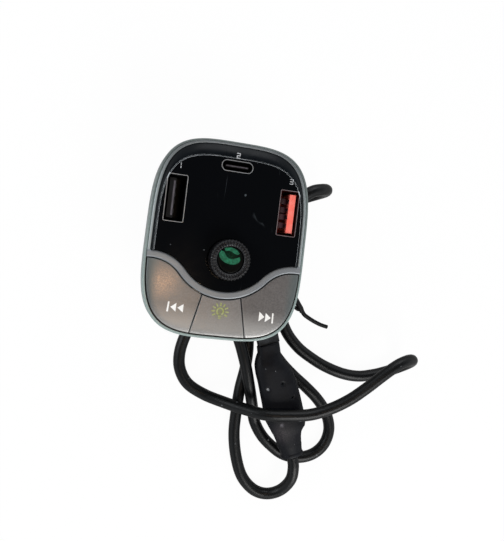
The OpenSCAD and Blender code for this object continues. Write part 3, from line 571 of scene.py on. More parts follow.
cord = {
    "diameter": 3.8,
    "step": 0.8,  # mm between rings
    "sides": 20,
    "lowest": 1.92,
    "route": [
        (10.5, -24.5, 6.4), (11, -28.5, 6.4), (13, -33.3, 6.35), (15.1, -38.8, 6.25), (17.3, -45.5, 5.4),
        (19.4, -51.5, 3.3), (21.2, -57.2, 1.95), (24.2, -61.8, 1.95), (28, -65.2, 1.95), (32.5, -67.9, 1.95),
        (38, -68.7, 1.95), (43.1, -67.2, 1.95), (46.6, -63.6, 1.95), (47.7, -58.5, 1.95), (46, -53.2, 1.95),
        (42.5, -48.8, 1.95), (38, -45, 1.95), (32.5, -41, 1.95), (27.5, -36.7, 1.95), (23.2, -31.5, 1.95),
        (20.3, -25, 2.1), (19.4, -18, 2.8), (19.6, -13.8, 3.25), (19.65, -9.6, 3.25), (19.4, -4, 2.4),
        (19.5, 4, 1.95), (21.5, 11, 1.95), (24, 15.2, 1.95), (27.2, 17.3, 1.95), (30.4, 18.8, 2.8),
        (32.8, 19.9, 5.3), (33.6, 20.4, 8.8), (32.8, 20.5, 12.3), (30.6, 20.1, 14.8), (27.4, 19.1, 15.8),
        (24.8, 17.1, 15.7), (23.4, 14.2, 15.1), (22.9, 10.8, 13.9), (23, 5, 10.9), (23.5, -0.5, 7.4),
        (23.8, -5.4, 4.6), (23.75, -9.6, 3.25), (23.8, -13.8, 3.2), (24.9, -19.5, 2.4), (28.3, -26.5, 1.95),
        (33, -31.5, 1.95), (38.5, -34.9, 1.95), (44, -37.4, 1.95), (50.3, -39.2, 1.95), (56, -39.6, 1.95),
        (61, -38.7, 1.95), (65, -37.5, 1.95), (68.5, -35.9, 2.8), (70.7, -34, 5.2), (71.2, -32.3, 8.6),
        (69.9, -31.1, 12.1), (67, -31.1, 14.6), (63.2, -32.8, 15.5), (58.7, -36.5, 15.4), (53.7, -41.2, 14.8),
        (48.6, -45.4, 14.3), (42.7, -48.9, 13.8), (36.3, -51.3, 13.4), (29, -52.2, 13.1), (22, -52.6, 11.9),
        (15.5, -52, 8.6), (9, -51, 4.9), (3, -49.5, 2.4), (-2.5, -46.5, 1.95), (-5.5, -42, 1.95),
        (-6.2, -37, 1.95), (-5.2, -31.5, 1.95), (-3, -25.7, 1.95), (0.9, -21.5, 1.95), (6, -20.4, 1.95),
        (11.3, -22.4, 1.95), (14.8, -26.7, 1.95), (16, -32.3, 1.95), (16, -39.5, 1.95), (15, -47, 1.95),
        (14.7, -54.5, 1.95), (14.9, -62, 1.95), (16.5, -69.5, 1.95), (19.3, -76, 1.95), (23.7, -80.2, 1.95),
        (28.4, -81.3, 2.4), (32.6, -79.3, 3.9), (34.9, -75, 6.1), (35, -70.6, 7.05), (34.2, -67.1, 7.15),
    ],
}


def runAlong(points):
    return np.concatenate([[0], np.cumsum(np.linalg.norm(np.diff(points, axis=0), axis=1))])


def smoothPath(points, step, lowest=None):
    # Catmull-Rom curve through the points, then evenly spaced along its length
    p = np.array(points, float)
    p = np.vstack([2 * p[0] - p[1], p, 2 * p[-1] - p[-2]])
    t = np.linspace(0, 1, 24, endpoint=False)[None, :, None]
    a, b, c, d = (p[i : len(p) - 3 + i][:, None, :] for i in range(4))
    square, cube = 2 * a - 5 * b + 4 * c - d, 3 * b - a - 3 * c + d
    curve = 0.5 * (2 * b + (c - a) * t + square * t**2 + cube * t**3)
    curve = np.vstack([curve.reshape(-1, 3), p[-2]])
    if lowest is not None:
        curve[:, 2] = np.maximum(curve[:, 2], lowest)
    run = runAlong(curve)
    even = np.linspace(0, run[-1], max(2, int(run[-1] / step)) + 1)
    return np.stack([np.interp(even, run, curve[:, k]) for k in range(3)], -1), even


def tubeGrid(path, radius, sides):
    # A circle carried along the path, each frame turned from the one before by the least angle
    tangent = np.gradient(path, axis=0)
    tangent /= np.linalg.norm(tangent, axis=1)[:, None]
    side = np.empty_like(tangent)
    side[0] = np.cross(tangent[0], (0.3, 0.2, 1.0))
    side[0] /= np.linalg.norm(side[0])
    for i in range(1, len(path)):
        v = side[i - 1] - tangent[i] * np.dot(side[i - 1], tangent[i])
        side[i] = v / np.linalg.norm(v)
    other = np.cross(tangent, side)
    angle = 2 * math.pi * np.arange(sides) / sides
    radius = np.broadcast_to(np.asarray(radius, float), (len(path),))
    ring = np.cos(angle)[None, :, None] * side[:, None] + np.sin(angle)[None, :, None] * other[:, None]
    return path[:, None] + radius[:, None, None] * ring


def buildCord():
    path, run = smoothPath(cord["route"], cord["step"], cord["lowest"])
    grid = tubeGrid(path, cord["diameter"] / 2, cord["sides"])
    share = np.arange(cord["sides"]) / cord["sides"]
    share = 1 - np.abs(2 * share - 1)  # the same on both sides of the seam
    uv = np.stack(np.broadcast_arrays(share[None, :], (run * mm)[:, None]), -1).reshape(-1, 2)
    return pieceFrom("powerCord", [shellOf(grid)], "cordJacket", node="power_cord", uvs=uv), path, run[-1]


powerCord, cordPath, cordLength = buildCord()
print("stage: cord", round(cordLength, 1), "mm")

ringLow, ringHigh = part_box("light_ring")
head = {
    "length": (ringHigh[1] - ringLow[1]) / mm,
    "aspect": 46.4 / 56.2,
    "squareness": 3.7,
    "narrow": 0.028,  # share by which the outline narrows to the top
    "slim": 0.24,  # share by which the rim narrows at the top
    "slimFrom": 0.55, "slimSpan": 0.35, "slimPower": 1.5,
    "panelInset": 1.6, "borderTop": 3.0, "borderSide": 0.7,
}
head["width"] = head["length"] * head["aspect"]
# the silver band: two shoulder arcs and a middle arc the other way
smile = {
    "shoulderTop": -0.087 * head["length"],
    "low": -0.256 * head["length"],
    "radius": 14.5,
    "shoulderX": head["width"] / 2 - 2.5,
    "band": 2.1,
    "steps": 60,  # points along a shoulder arc
}
smile["middleY"] = smile["low"] + smile["radius"]
rise, radius = smile["middleY"] - smile["shoulderTop"], smile["radius"]
smile["shoulderRadius"] = (smile["shoulderX"] ** 2 + rise**2 - radius**2) / (2 * (radius - rise))
smile["shoulderY"] = smile["shoulderTop"] - smile["shoulderRadius"]
smile["turn"] = math.acos((smile["middleY"] - smile["shoulderY"]) / (radius + smile["shoulderRadius"]))


def outlineAt(angle, inset, insetTop=0.0):
    # Superellipse |x/a|^n + |y/b|^n = 1 in polar form, narrowed towards the top
    c, s, n = np.cos(angle), np.sin(angle), head["squareness"]
    a = head["width"] / 2 - inset
    b = head["length"] / 2 - inset - insetTop
    r = (np.abs(c / a) ** n + np.abs(s / b) ** n) ** (-1 / n)
    x, y = r * c, r * s
    return np.stack([x * (1 - head["narrow"] * (0.5 + y / head["length"])), y], -1)


def lensOutlineAt(angle, grow=0.0):
    # The same curve with its own inset at the sides and at the top
    inset = head["panelInset"] + head["borderSide"] - grow
    return outlineAt(angle, inset, head["borderTop"] - head["borderSide"])


def smileCurve(off, reach):
    # Shoulder arc, middle arc the other way, shoulder arc; level lines run out to the sides
    turn = np.linspace(0, smile["turn"], smile["steps"])
    bend = np.linspace(-smile["turn"], smile["turn"], 2 * smile["steps"])[1:-1]
    r = smile["shoulderRadius"] - off
    left = np.stack([-smile["shoulderX"] + r * np.sin(turn), smile["shoulderY"] + r * np.cos(turn)], -1)
    big = smile["radius"] + off
    middle = np.stack([big * np.sin(bend), smile["middleY"] - big * np.cos(bend)], -1)
    right = left[::-1] * (-1, 1)
    level = smile["shoulderTop"] - off
    return np.vstack([[(-reach, level)], left, middle, right, [(reach, level)]])


def spaced(points, count, ease=True):
    # The same line with count points; eased, they crowd towards both ends
    run = runAlong(points)
    t = np.linspace(0, 1, count)
    t = (1 - np.cos(math.pi * t)) / 2 if ease else t
    return np.stack([np.interp(t * run[-1], run, points[:, k]) for k in range(2)], -1)


rightSide = np.linspace(-math.pi / 2, math.pi / 2, 4001)


def angleAtHeight(y, points):
    # Angle at which an outline of the right side reaches a height
    return float(np.interp(y, points[:, 1], rightSide))


def upperArc(y, points, steps):
    # Angles from a height on the right side over the top to the same height on the left
    start = angleAtHeight(y, points)
    return np.linspace(start, math.pi - start, steps)


def slimmed(angle):
    # Share of the rim's width that is left at an angle: all of it but round the top
    top = np.clip((np.sin(angle) - head["slimFrom"]) / head["slimSpan"], 0, 1)
    return 1 - head["slim"] * top ** head["slimPower"]


lightRing = {
    "steps": 240, "low": 22.12, "top": 28.8, "width": 0.7, "round": 0.4, "innerRound": 0.1,
    "bevel": 0.12, "outerWall": 25.5, "innerWall": 26,
}


def buildLightRing():
    # A closed section of (inset, height) carried round the outline
    s = lightRing
    side, drop = quarterRound(s["round"], 8)
    inSide, inDrop = quarterRound(s["innerRound"], 4)
    inset = np.concatenate([[s["bevel"], 0, 0, 0], side, (s["width"] - inSide)[::-1], [s["width"]] * 2])
    outer = [s["low"], s["low"] + s["bevel"], s["low"] + 1, s["outerWall"]]
    height = np.concatenate([outer, s["top"] - drop, (s["top"] - inDrop)[::-1], [s["innerWall"], s["low"]]])
    angle = 2 * math.pi * np.arange(s["steps"]) / s["steps"]
    grid = lifted(outlineAt(angle[None, :], inset[:, None] * slimmed(angle)), height[:, None])
    pieceFrom("lightRing", [shellOf(grid, wrapRows=True)], "ringPlastic", node="light_ring")


bandFrame = {
    "outerInset": 0.8, "innerInset": 1.6, "low": 27.0, "trimTop": 29.0, "bandTop": 29.25,
    "trimRound": 0.22, "bandRound": 0.45, "steps": 200,
}


def stripShell(outer, inner, low, top, radius):
    # Strip between two lines: a rounded section across each pair of points
    width = np.linalg.norm(outer - inner, axis=1)[:, None]
    side, drop = quarterRound(radius, 6)
    across = np.minimum(side[None, :] / width, 0.5)
    middle = np.linspace(0, 1, 7)[None, 1:-1] * (1 - 2 * across[:, -1:]) + across[:, -1:]
    none = np.zeros((len(width), 1))
    share = np.hstack([none, across, middle, 1 - across[:, ::-1], none + 1])
    height = np.concatenate([[low], top - drop, np.full(5, top), (top - drop)[::-1], [low]])
    return shellOf(lifted(between(outer, inner, share), height[None, :]))


def buildBandFrame():
    s = bandFrame
    outline = outlineAt(rightSide, s["outerInset"])
    angle = upperArc(smile["shoulderTop"] - smile["band"] / 2, outline, s["steps"])
    edges = [outlineAt(angle, s[key] * slimmed(angle)) for key in ("outerInset", "innerInset")]
    trim = stripShell(*edges, s["low"], s["trimTop"], s["trimRound"])
    lines = []
    for off in (smile["band"], 0):
        reach = np.interp(smile["shoulderTop"] - off, outline[:, 1], outline[:, 0])
        lines.append(spaced(smileCurve(off, reach), s["steps"], False))
    band = stripShell(*lines, s["low"], s["bandTop"], s["bandRound"])
    mark = np.concatenate([np.ones(len(trim[0])), np.zeros(len(band[0]))])  # 1 on the trim, for the paint
    uv = np.stack([mark, mark], -1)
    pieceFrom("bandFrame", [trim, band], "bandSilver", node="panel_frame", crease=50, uvs=uv)


buildLightRing()
buildBandFrame()

panelEdge = {
    "outerInset": 1.62, "rim": 28.7, "low": 27.05, "slopeTop": 29.84, "hollow": 0.9, "steps": 260,
    "under": 0.3, "lap": 0.02,  # how far the border reaches under the band and under the lens
    "shares": (0, 0, 0.03, 0.1, 0.25, 0.45, 0.65, 0.85, 0.97, 1.0, 1.0),
    # the lens's bevel: how far it stands outside the lens's outline, and how far under the lens's top
    "bevel": [(0.03, 0.45), (0.03, 0.12), (0.0, 0.09), (-0.26, 0), (-0.26, 0.1), (-0.05, 0.45)],
    "lensTop": 30.02, "bevelOver": 0.05,
}


def buildPanelBorder():
    # Ruled slope from the trim up to the lens, a little hollow, closed by a wall and a flat underside
    s = panelEdge
    angle = upperArc(smile["shoulderTop"] - s["under"], outlineAt(rightSide, s["outerInset"]), s["steps"])
    outer = outlineAt(angle, s["outerInset"] * slimmed(angle))
    share = np.array(s["shares"])
    height = s["rim"] + (s["slopeTop"] - s["rim"]) * np.sin(share * math.pi / 2) ** s["hollow"]
    height[[0, -1]] = s["low"]
    grid = lifted(between(outer, lensOutlineAt(angle, s["lap"]), share[None, :]), height[None, :])
    pieceFrom("panelBorder", [shellOf(grid)], "panelPlastic", crease=50)


def buildLensEdge():
    # Polished bevel round the lens: a thin slanting strip on its upper edge, painted pale as a highlight
    s = panelEdge
    angle = upperArc(smile["shoulderTop"] + s["bevelOver"], lensOutlineAt(rightSide), s["steps"])
    grow, drop = np.array(s["bevel"]).T
    grid = lifted(lensOutlineAt(angle[:, None], grow[None, :]), s["lensTop"] - drop[None, :])
    pieceFrom("lensEdgeHighlight", [shellOf(grid)], "lensEdgeHighlight", crease=20)


buildPanelBorder()
buildLensEdge()
print("stage: ring, band and panel made")

button = {
    "inset": 1.08, "under": 2.36, "gap": 0.3, "low": 27.12, "top": 29.3, "edgeRound": 0.16,
    "rollWidth": 2.0, "rollDrop": 0.25, "rollPower": 2.4, "steps": 56,
    "gapTop": (5.65, -16.017), "gapLow": (8.3, -28.1),
    "groundSteps": 2001, "sideSteps": 600,  # points of the lower outline, and those down its left side
    "cornerShift": 40,  # points by which an outer button's lower corner lies past the middle of its edge
}


def gapCrossing(points, shift):
    # Fractional index at which the right half of a line meets the gap between two buttons, moved
    # sideways by a shift: where its signed distance to the gap changes sign
    (x0, y0), (x1, y1) = button["gapTop"], button["gapLow"]
    first = len(points) // 2
    half = points[first:]
    along = (half[:, 1] - y0) / (y1 - y0)
    signed = half[:, 0] - (x0 + (x1 - x0) * along + shift)
    i = np.nonzero(np.diff(np.sign(signed)))[0][0]
    return first + i + signed[i] / (signed[i] - signed[i + 1])


def partOf(points, first, last, count):
    # The stretch between two fractional indices
    index = np.arange(len(points))
    inside = index[(index > first) & (index < last)]
    where = np.concatenate([[first], inside, [last]])
    return spaced(np.stack([np.interp(where, index, points[:, k]) for k in range(2)], -1), count)


def coons(low, high, left, right):
    # Coons patch: the sum of both ruled surfaces less the bilinear one through the corners
    u, v = ((1 - np.cos(math.pi * np.linspace(0, 1, len(line)))) / 2 for line in (low, left))
    u, v = u[None, :, None], v[:, None, None]
    ruled = (1 - v) * low[None] + v * high[None] + (1 - u) * left[:, None] + u * right[:, None]
    corners = (1 - u) * (1 - v) * low[0] + u * (1 - v) * low[-1] + (1 - u) * v * high[0] + u * v * high[-1]
    return ruled - corners


def distanceTo(points, line):
    # Least distance of each point to a polyline
    a, b = line[:-1], line[1:]
    ab = b - a
    t = np.einsum("pij,ij->pi", points[:, None] - a[None], ab) / np.maximum((ab**2).sum(1), 1e-12)
    near = a[None] + np.clip(t, 0, 1)[..., None] * ab[None]
    return np.linalg.norm(points[:, None] - near, axis=2).min(1)


def buttonShell(low, high, left, right, outerLines):
    # Cushion: flat in the middle, a small round at every edge and a wide roll along the outside
    s = button
    flat = coons(low, high, left, right)
    rows, cols = flat.shape[:2]
    points = flat.reshape(-1, 2)
    edge = distanceTo(points, np.vstack([low, right[1:], high[::-1][1:], left[::-1][1:]]))
    outside = np.min([distanceTo(points, line) for line in outerLines], axis=0)
    r = s["edgeRound"]
    small = r - np.sqrt(np.maximum(r**2 - np.clip(r - edge, 0, r) ** 2, 0))
    wide = 1 - np.sqrt(1 - np.clip(1 - outside / s["rollWidth"], 0, 1) ** s["rollPower"])
    top = np.column_stack([points, s["top"] - small - s["rollDrop"] * wide])
    index = np.arange(rows * cols).reshape(rows, cols)
    rim = np.concatenate([index[0], index[1:, -1], index[-1, ::-1][1:], index[::-1, 0][1:-1]])
    wall = top[rim].copy()
    wall[:, 2] = s["low"]
    foot = rows * cols + np.arange(len(rim))
    faces = gridFaces(rows, cols, False, False)
    faces += np.stack([rim, foot, np.roll(foot, -1), np.roll(rim, -1)], -1).tolist()
    return np.vstack([top, wall]), faces + [foot.tolist()]


def buildButtons():
    s = button
    count, half = s["steps"], s["gap"] / 2
    level = smile["shoulderTop"] - s["under"]
    # the lower outline from the left side to the right
    ground = outlineAt(np.linspace(-math.pi, 0, s["groundSteps"]), s["inset"])
    middle = len(ground) // 2
    sideUp = ground[: s["sideSteps"]][::-1]
    sideX = abs(np.interp(level, sideUp[:, 1], sideUp[:, 0]))
    roof = smileCurve(s["under"], sideX)
    # middle button: between both gap lines
    roofGap, groundGap = gapCrossing(roof, -half), gapCrossing(ground, -half)
    high = partOf(roof, len(roof) - 1 - roofGap, roofGap, count)
    low = partOf(ground, len(ground) - 1 - groundGap, groundGap, count)
    left, right = (spaced(np.array([low[end], high[end]]), count) for end in (0, -1))
    shell = buttonShell(low, high, left, right, [low])
    pieceFrom("buttonLight", [shell], "buttonPaintSignGlow", "button_light", "button_light", crease=60)
    # outer buttons: the right one is worked out, the left one is its mirror
    roofGap, groundGap = gapCrossing(roof, half), gapCrossing(ground, half)
    sideTop = middle + np.argmin(np.abs(ground[middle:, 1] - level))
    corner = (groundGap + sideTop) / 2 + s["cornerShift"]
    high = partOf(roof, roofGap, len(roof) - 1, count)
    low = partOf(ground, groundGap, corner, count)
    right = partOf(ground, corner, sideTop, count)
    high[-1] = right[-1]
    left = spaced(np.array([low[0], high[0]]), count)
    for name, finish, way in (("Next", "buttonPaint", 1), ("Prev", "buttonPaintWarmReflection", -1)):
        edges = [line * (way, 1) for line in (low, high, left, right)]
        shell = buttonShell(*edges, [edges[0], edges[3]])
        node = "button_" + name.lower()
        pieceFrom("button" + name, [shell], finish, node, node, crease=60)


buildButtons()


def prism(line, low, high):
    # Flat sign: an outline between two heights
    n = len(line)
    k = np.arange(n)
    points = np.vstack([np.column_stack([line, np.full(n, z)]) for z in (low, high)])
    faces = np.stack([k, (k + 1) % n, n + (k + 1) % n, n + k], -1).tolist()
    return points, faces + [k[::-1].tolist(), (n + k).tolist()]


def arcBand(centre, radius, width, start, end, steps):
    # A line of a width along an arc, three tenths of it outside the radius
    angle = np.radians(np.linspace(start, end, steps))
    ring = np.stack([np.cos(angle), np.sin(angle)], -1)
    outer = np.array(centre) + ring * (radius + width * 0.3)
    inner = np.array(centre) + ring * (radius - width * 0.7)
    return np.vstack([outer, inner[::-1]])


def bar(x, y, width, length, tilt=0.0):
    corner = np.array([(-width, -length), (width, -length), (width, length), (-width, length)]) / 2
    c, s = math.cos(tilt), math.sin(tilt)
    return corner @ np.array([(c, s), (-s, c)]) + (x, y)


signs = {
    "thick": 0.03,
    "sunk": 0.02,
    "Prev": [
        [(-14.85, -18.65), (-14.4, -18.7), (-14.55, -21.5), (-15.0, -21.45)],
        [(-14.05, -20.1), (-12.45, -18.85), (-12.45, -21.3)],
        [(-12.05, -20.15), (-10.4, -19.0), (-10.4, -21.35)],
    ],
    "Next": [
        [(11.5, -18.9), (11.5, -21.7), (13.15, -20.3)],
        [(13.4, -19.1), (13.4, -21.7), (15.05, -20.4)],
        [(15.3, -19.0), (15.75, -19.0), (15.85, -21.9), (15.4, -21.9)],
    ],
    "sun": {
        "centre": (0.1, -20.0), "radius": 1.0, "line": 0.38, "arc": (-60, 240, 32),
        "rayFrom": 1.55, "rayTo": 2.5, "rays": (-30, 210, 9),
        "socket": [(1.35, 0.9), (1.9, 0.7)], "socketLine": 0.3,  # how far down, width
    },
    # beside the knob's middle: outer and inner line of the receiver, then of the wave over it
    "phone": [
        ([(-3.43, 1.39), (-3.07, 0.38), (-2.09, -0.53), (-0.75, -1.06), (0.95, -1.12),
          (2.14, -0.63), (2.65, 0.18)],
         [(-2.94, 2.3), (-2.05, 2.01), (-1.51, 1.25), (-0.77, 0.51), (0.31, 0.36),
          (1.53, 0.65), (2.51, 1.07)]),
        ([(-2.1, 3.05), (-0.99, 3.37), (0.27, 3.37), (1.41, 2.84), (2.27, 2.03)],
         [(-1.67, 2.28), (-0.85, 2.5), (0.01, 2.32), (0.92, 1.82), (1.9, 1.65)]),
    ],
    # strokes of a digit: place, and whether it lies flat
    "strokes": {"a": (0, 1, True), "b": (0.5, 0.5, False), "c": (0.5, -0.5, False), "d": (0, -1, True),
                "e": (-0.5, -0.5, False), "g": (0, 0, True)},
    "digits": {"1": "bc", "2": "abged", "3": "abgcd"},
    "numbers": [("1", -16.2, 19.0), ("2", -0.1, 24.1), ("3", 16.1, 19.1)],
    "digitSize": (0.8, 1.3, 0.2),  # width, height, stroke
    "digitTop": 30.05, "digitDeep": 0.4, "digitStep": 0.004,
}


def buildSigns():
    s, sun = signs, signs["sun"]
    low, high = button["top"] - s["sunk"], button["top"] + s["thick"]
    for name in ("Prev", "Next"):
        shells = [prism(np.array(line, float), low, high) for line in s[name]]
        pieceFrom("sign" + name, shells, "printWhite", "button_" + name.lower(), crease=30)
    centre = np.array(sun["centre"])
    shells = [prism(arcBand(centre, sun["radius"], sun["line"], *sun["arc"]), low, high)]
    for angle in np.radians(np.linspace(*sun["rays"])):
        middle = centre + np.array([math.cos(angle), math.sin(angle)]) * (sun["rayFrom"] + sun["rayTo"]) / 2
        ray = bar(*middle, sun["line"], sun["rayTo"] - sun["rayFrom"], angle - math.pi / 2)
        shells.append(prism(ray, low, high))
    for down, width in sun["socket"]:
        shells.append(prism(bar(centre[0], centre[1] - down, width, sun["socketLine"]), low, high))
    pieceFrom("signLight", shells, "printLime", "button_light", crease=30)
    # plain numbers on the lens and its border, one by each port
    wide, tall, stroke = s["digitSize"]
    shells = []
    for digit, x, y in s["numbers"]:
        for letter in s["digits"][digit]:
            dx, dy, flat = s["strokes"][letter]
            size = (wide + stroke, stroke) if flat else (stroke, tall / 2 + stroke)
            line = bar(x + dx * wide, y + dy * tall / 2, *size)
            top = s["digitTop"] + (0 if flat else s["digitStep"])
            shells.append(prism(line, s["digitTop"] - s["digitDeep"], top))
    pieceFrom("portNumbers", shells, "printGrey", crease=30)


buildSigns()
print("stage: buttons and signs made")

# inside the ports: a pale line on two tongues as a painted highlight, and sprung leaves beside the right one,
# dark as painted shade
inPorts = {
    "lines": [("tongueEdgeHighlight", "usb_a_left_tongue", (-16.85, 10.0, 0.5, 9.6), 0.3),
              ("tongueCEdgeHighlight", "usb_c_tongue", (0, 21.12, 6.2, 0.3), 0.2)],
    "proud": 0.02,
    "leafX": (13.6, 16.0), "leafY": (6.5, 9.0, 11.0, 13.5), "leafWide": 1.6, "leafTop": 27.8,
    "leafBow": 0.5, "leafThick": 0.2,
}


def buildInPorts():
    s = inPorts
    for name, node, place, deep in s["lines"]:
        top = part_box(node)[1][2] / mm
        shell = prism(bar(*place), top - deep, top + s["proud"])
        pieceFrom(name, [shell], "tongueGrey", crease=30)
    low, high = s["leafX"]
    share = np.linspace(0, 1, 9)
    bow = s["leafTop"] - s["leafBow"] * (2 * share - 1) ** 2
    section = np.array([(-1, 0), (1, 0), (1, -1), (-1, -1)]) * (s["leafWide"] / 2, s["leafThick"])
    shells = []
    for y in s["leafY"]:
        x = (low + (high - low) * share)[:, None]
        leaf = np.broadcast_arrays(x, y + section[:, 0], bow[:, None] + section[:, 1])
        shells.append(shellOf(np.stack(leaf, -1)))
    pieceFrom("contactLeaves", shells, "contactShaded", crease=30)


buildInPorts()

knob = {
    "x": 0.4, "y": -0.0925 * head["length"], "outer": 5.8, "root": 5.62, "bore": 3.8, "flange": 6.5,
    "low": 26.02, "flangeTop": 26.78, "ribLow": 30.1, "ribFull": 30.3, "wallRow": 32.0, "top": 34.4,
    "bevel": 0.9, "ribs": 36, "perRib": 10, "knurl": 0.32, "flat": 2.2,  # flat: how square the ribs are
    # radius, drop under the top and knurl share, from the knurls in to the bore
    "inner": [(4.6, 0.05, 0.9), (4.3, 0.12, 0.6), (4.05, 0.2, 0), (3.85, 0.35, 0), (3.8, 0.6, 0)],
}
callCap = {
    "radius": 3.6, "low": 32.5, "top": 34.1, "round": 0.3, "dish": 0.12, "steps": 96,
    "chamfer": (0.3, 0.15), "least": 0.05,  # lower edge: in and up; radius of the innermost ring
    "signSunk": 0.06, "signProud": 0.02, "signStep": 0.12,
}


def lathe(radius, height, angle):
    # Rings of a radius and a height for each row turned round the knob's upright axis
    x, y = knob["x"] + radius * np.cos(angle), knob["y"] + radius * np.sin(angle)
    return np.stack(np.broadcast_arrays(x, y, height), -1)


def buildKnob():
    # Fine ribs on the wall and radial knurls on the bevelled top: a flattened cosine over the angle
    s = knob
    side, drop = quarterRound(s["bevel"], 8)
    profile = [(s["bore"], s["low"], 0, 0), (s["flange"], s["low"], 0, 0),
               (s["flange"], s["flangeTop"], 0, 0), (s["root"], s["flangeTop"], 0, 0),
               (s["root"], s["ribLow"], 0, 0),
               (s["outer"], s["ribFull"], 1, 0), (s["outer"], s["wallRow"], 1, 0)]
    profile += zip(s["outer"] - side, s["top"] - drop, np.ones(8), np.linspace(0, 1, 8))
    profile += [(r, s["top"] - down, 0, knurl) for r, down, knurl in s["inner"]]
    radius, height, rib, knurl = np.array(profile).T[:, :, None]
    count = s["ribs"] * s["perRib"]
    angle = 2 * math.pi * np.arange(count) / count
    tooth = 0.5 - 0.5 * np.tanh(s["flat"] * np.cos(angle * s["ribs"])) / math.tanh(s["flat"])
    radius = radius + (s["root"] - s["outer"]) * tooth * rib
    shell = shellOf(lathe(radius, height - s["knurl"] * tooth * knurl, angle), wrapRows=True)
    pieceFrom("volumeRing", [shell], "knobPlastic", "volume_ring", "volume_ring", crease=40)


def buildCallCap():
    s = callCap
    side, drop = quarterRound(s["round"], 7)
    dish = np.linspace(0, 1, 8)[1:]
    inward = np.maximum((s["radius"] - s["round"]) * (1 - dish), s["least"])
    across, up = s["chamfer"]
    radius = np.concatenate([[s["radius"] - across, s["radius"]], s["radius"] - side, inward])
    hollow = s["dish"] * np.sin(dish * math.pi / 2) ** 2
    height = np.concatenate([[s["low"], s["low"] + up], s["top"] - drop, s["top"] - hollow])
    grid = lathe(radius[:, None], height[:, None], 2 * math.pi * np.arange(s["steps"]) / s["steps"])
    pieceFrom("callCap", [shellOf(grid)], "capPlastic", "call_cap", "call_cap", crease=50)
    # the sign: each part lies between two smooth lines and stands a hair above the dish
    shells = []
    for pair in signs["phone"]:
        raised = [[(x + knob["x"], y + knob["y"], 0) for x, y in line] for line in pair]
        outer, inner = (smoothPath(line, s["signStep"])[0][:, :2] for line in raised)
        low = s["top"] - s["dish"] - s["signSunk"]
        shells.append(prism(np.vstack([outer, inner[::-1]]), low, s["top"] + s["signProud"]))
    pieceFrom("signCall", shells, "printGreen", "call_cap", crease=30)


buildKnob()
buildCallCap()
print("stage: volume ring and call cap made")

plug = {
    "at": (34.2, -67.1, 7.15), "turn": 19.3, "sides": 96,
    # along, width, thickness, squareness, how far the middle lies to the right
    "grip": [
        (4.1, 8.0, 5.8, 2.2, -0.15), (6.5, 8.45, 5.9, 2.4, 0), (8.0, 9.2, 6.0, 2.5, 0.1),
        (8.9, 10.1, 6.1, 2.6, 0.35), (9.6, 11.2, 6.2, 2.6, 0.6), (10.6, 11.8, 6.3, 2.7, 0.65),
        (12.4, 12.6, 6.35, 2.8, 0.5),
        (14.5, 13.2, 6.4, 2.9, 0.2), (17, 13.1, 6.4, 3.0, 0.2), (19.4, 12.9, 6.4, 3.0, 0.25),
        (24.4, 12.6, 6.4, 3.0, 0.2), (27, 12.1, 6.4, 3.0, 0), (30, 11.4, 6.4, 3.0, -0.45),
        (31.7, 10.4, 6.2, 2.9, -0.85), (33, 9.5, 5.7, 2.8, -1.15), (34.3, 8.7, 5.1, 2.8, -1.1),
        (35.5, 8.0, 4.7, 3.4, -0.8), (36.5, 7.3, 4.6, 4.0, -0.4), (38.4, 7.2, 4.6, 4.0, -0.25),
        (38.65, 7.0, 4.4, 4.0, -0.2), (38.8, 6.6, 4.0, 4.0, -0.1),
    ],
    "gripStep": 0.35,
    "dimples": [(1.2, 25.3), (3.6, 20.0), (-3.8, 24.7)],
    "dimpleDepth": 0.9, "dimpleSize": 0.4,
    # strain relief, in the same terms
    "sleeve": [
        (0.45, 6.2, 5.2, 2.2, 0), (0.6, 7.2, 5.6, 2.2, 0), (0.95, 7.6, 5.8, 2.2, 0),
        (1.45, 7.6, 5.8, 2.2, 0), (1.8, 7.2, 5.6, 2.2, 0), (2.6, 7.3, 5.65, 2.2, 0), (4.25, 7.9, 5.8, 2.2, 0),
    ],
    "sleeveRings": 6,  # from each station to the next
}


def plugPoints(local):
    # From the plug's own frame, +Y to its tip, to the part's
    c, s = math.cos(math.radians(plug["turn"])), math.sin(math.radians(plug["turn"]))
    return local @ np.array([(c, s, 0), (-s, c, 0), (0, 0, 1)]) + plug["at"]


def plugSections(stations, counts):
    # Superellipse rings across the plug's own axis; all their values run evenly from station to station
    stations = np.array(stations, float)
    ends = zip(stations[:-1, 0], stations[1:, 0], counts)
    along = np.unique(np.concatenate([np.linspace(a, b, count) for a, b, count in ends]))
    rows = [np.interp(along, stations[:, 0], column) for column in stations.T[1:]]
    width, thick, square, shift = np.array(rows)[..., None]
    angle = 2 * math.pi * np.arange(plug["sides"])[None, :] / plug["sides"]
    c, s = np.cos(angle), np.sin(angle)
    r = (np.abs(2 * c / width) ** square + np.abs(2 * s / thick) ** square) ** (-1 / square)
    return r * c + shift, np.repeat(along[:, None], plug["sides"], 1), r * s


def buildPlug():
    gaps = np.diff([station[0] for station in plug["grip"]])
    x, y, z = plugSections(plug["grip"], np.maximum(2, (gaps / plug["gripStep"]).astype(int) + 2))
    for px, py in plug["dimples"]:
        hole = np.exp(-((x - px) ** 2 + (y - py) ** 2) / plug["dimpleSize"] ** 2)
        z = z - plug["dimpleDepth"] * hole * (z > 1.5)
    shells = [shellOf(plugPoints(np.stack([x, y, z], -1)))]
    grip = pieceFrom("plugGrip", shells, "gripPlastic", node="plug_grip", crease=40)
    sleeve = plugSections(plug["sleeve"], [plug["sleeveRings"]] * (len(plug["sleeve"]) - 1))
    shells = [shellOf(plugPoints(np.stack(sleeve, -1)))]
    return grip, pieceFrom("plugCollar", shells, "gripPlastic", node="plug_collar", crease=45)


plugGrip, plugCollar = buildPlug()

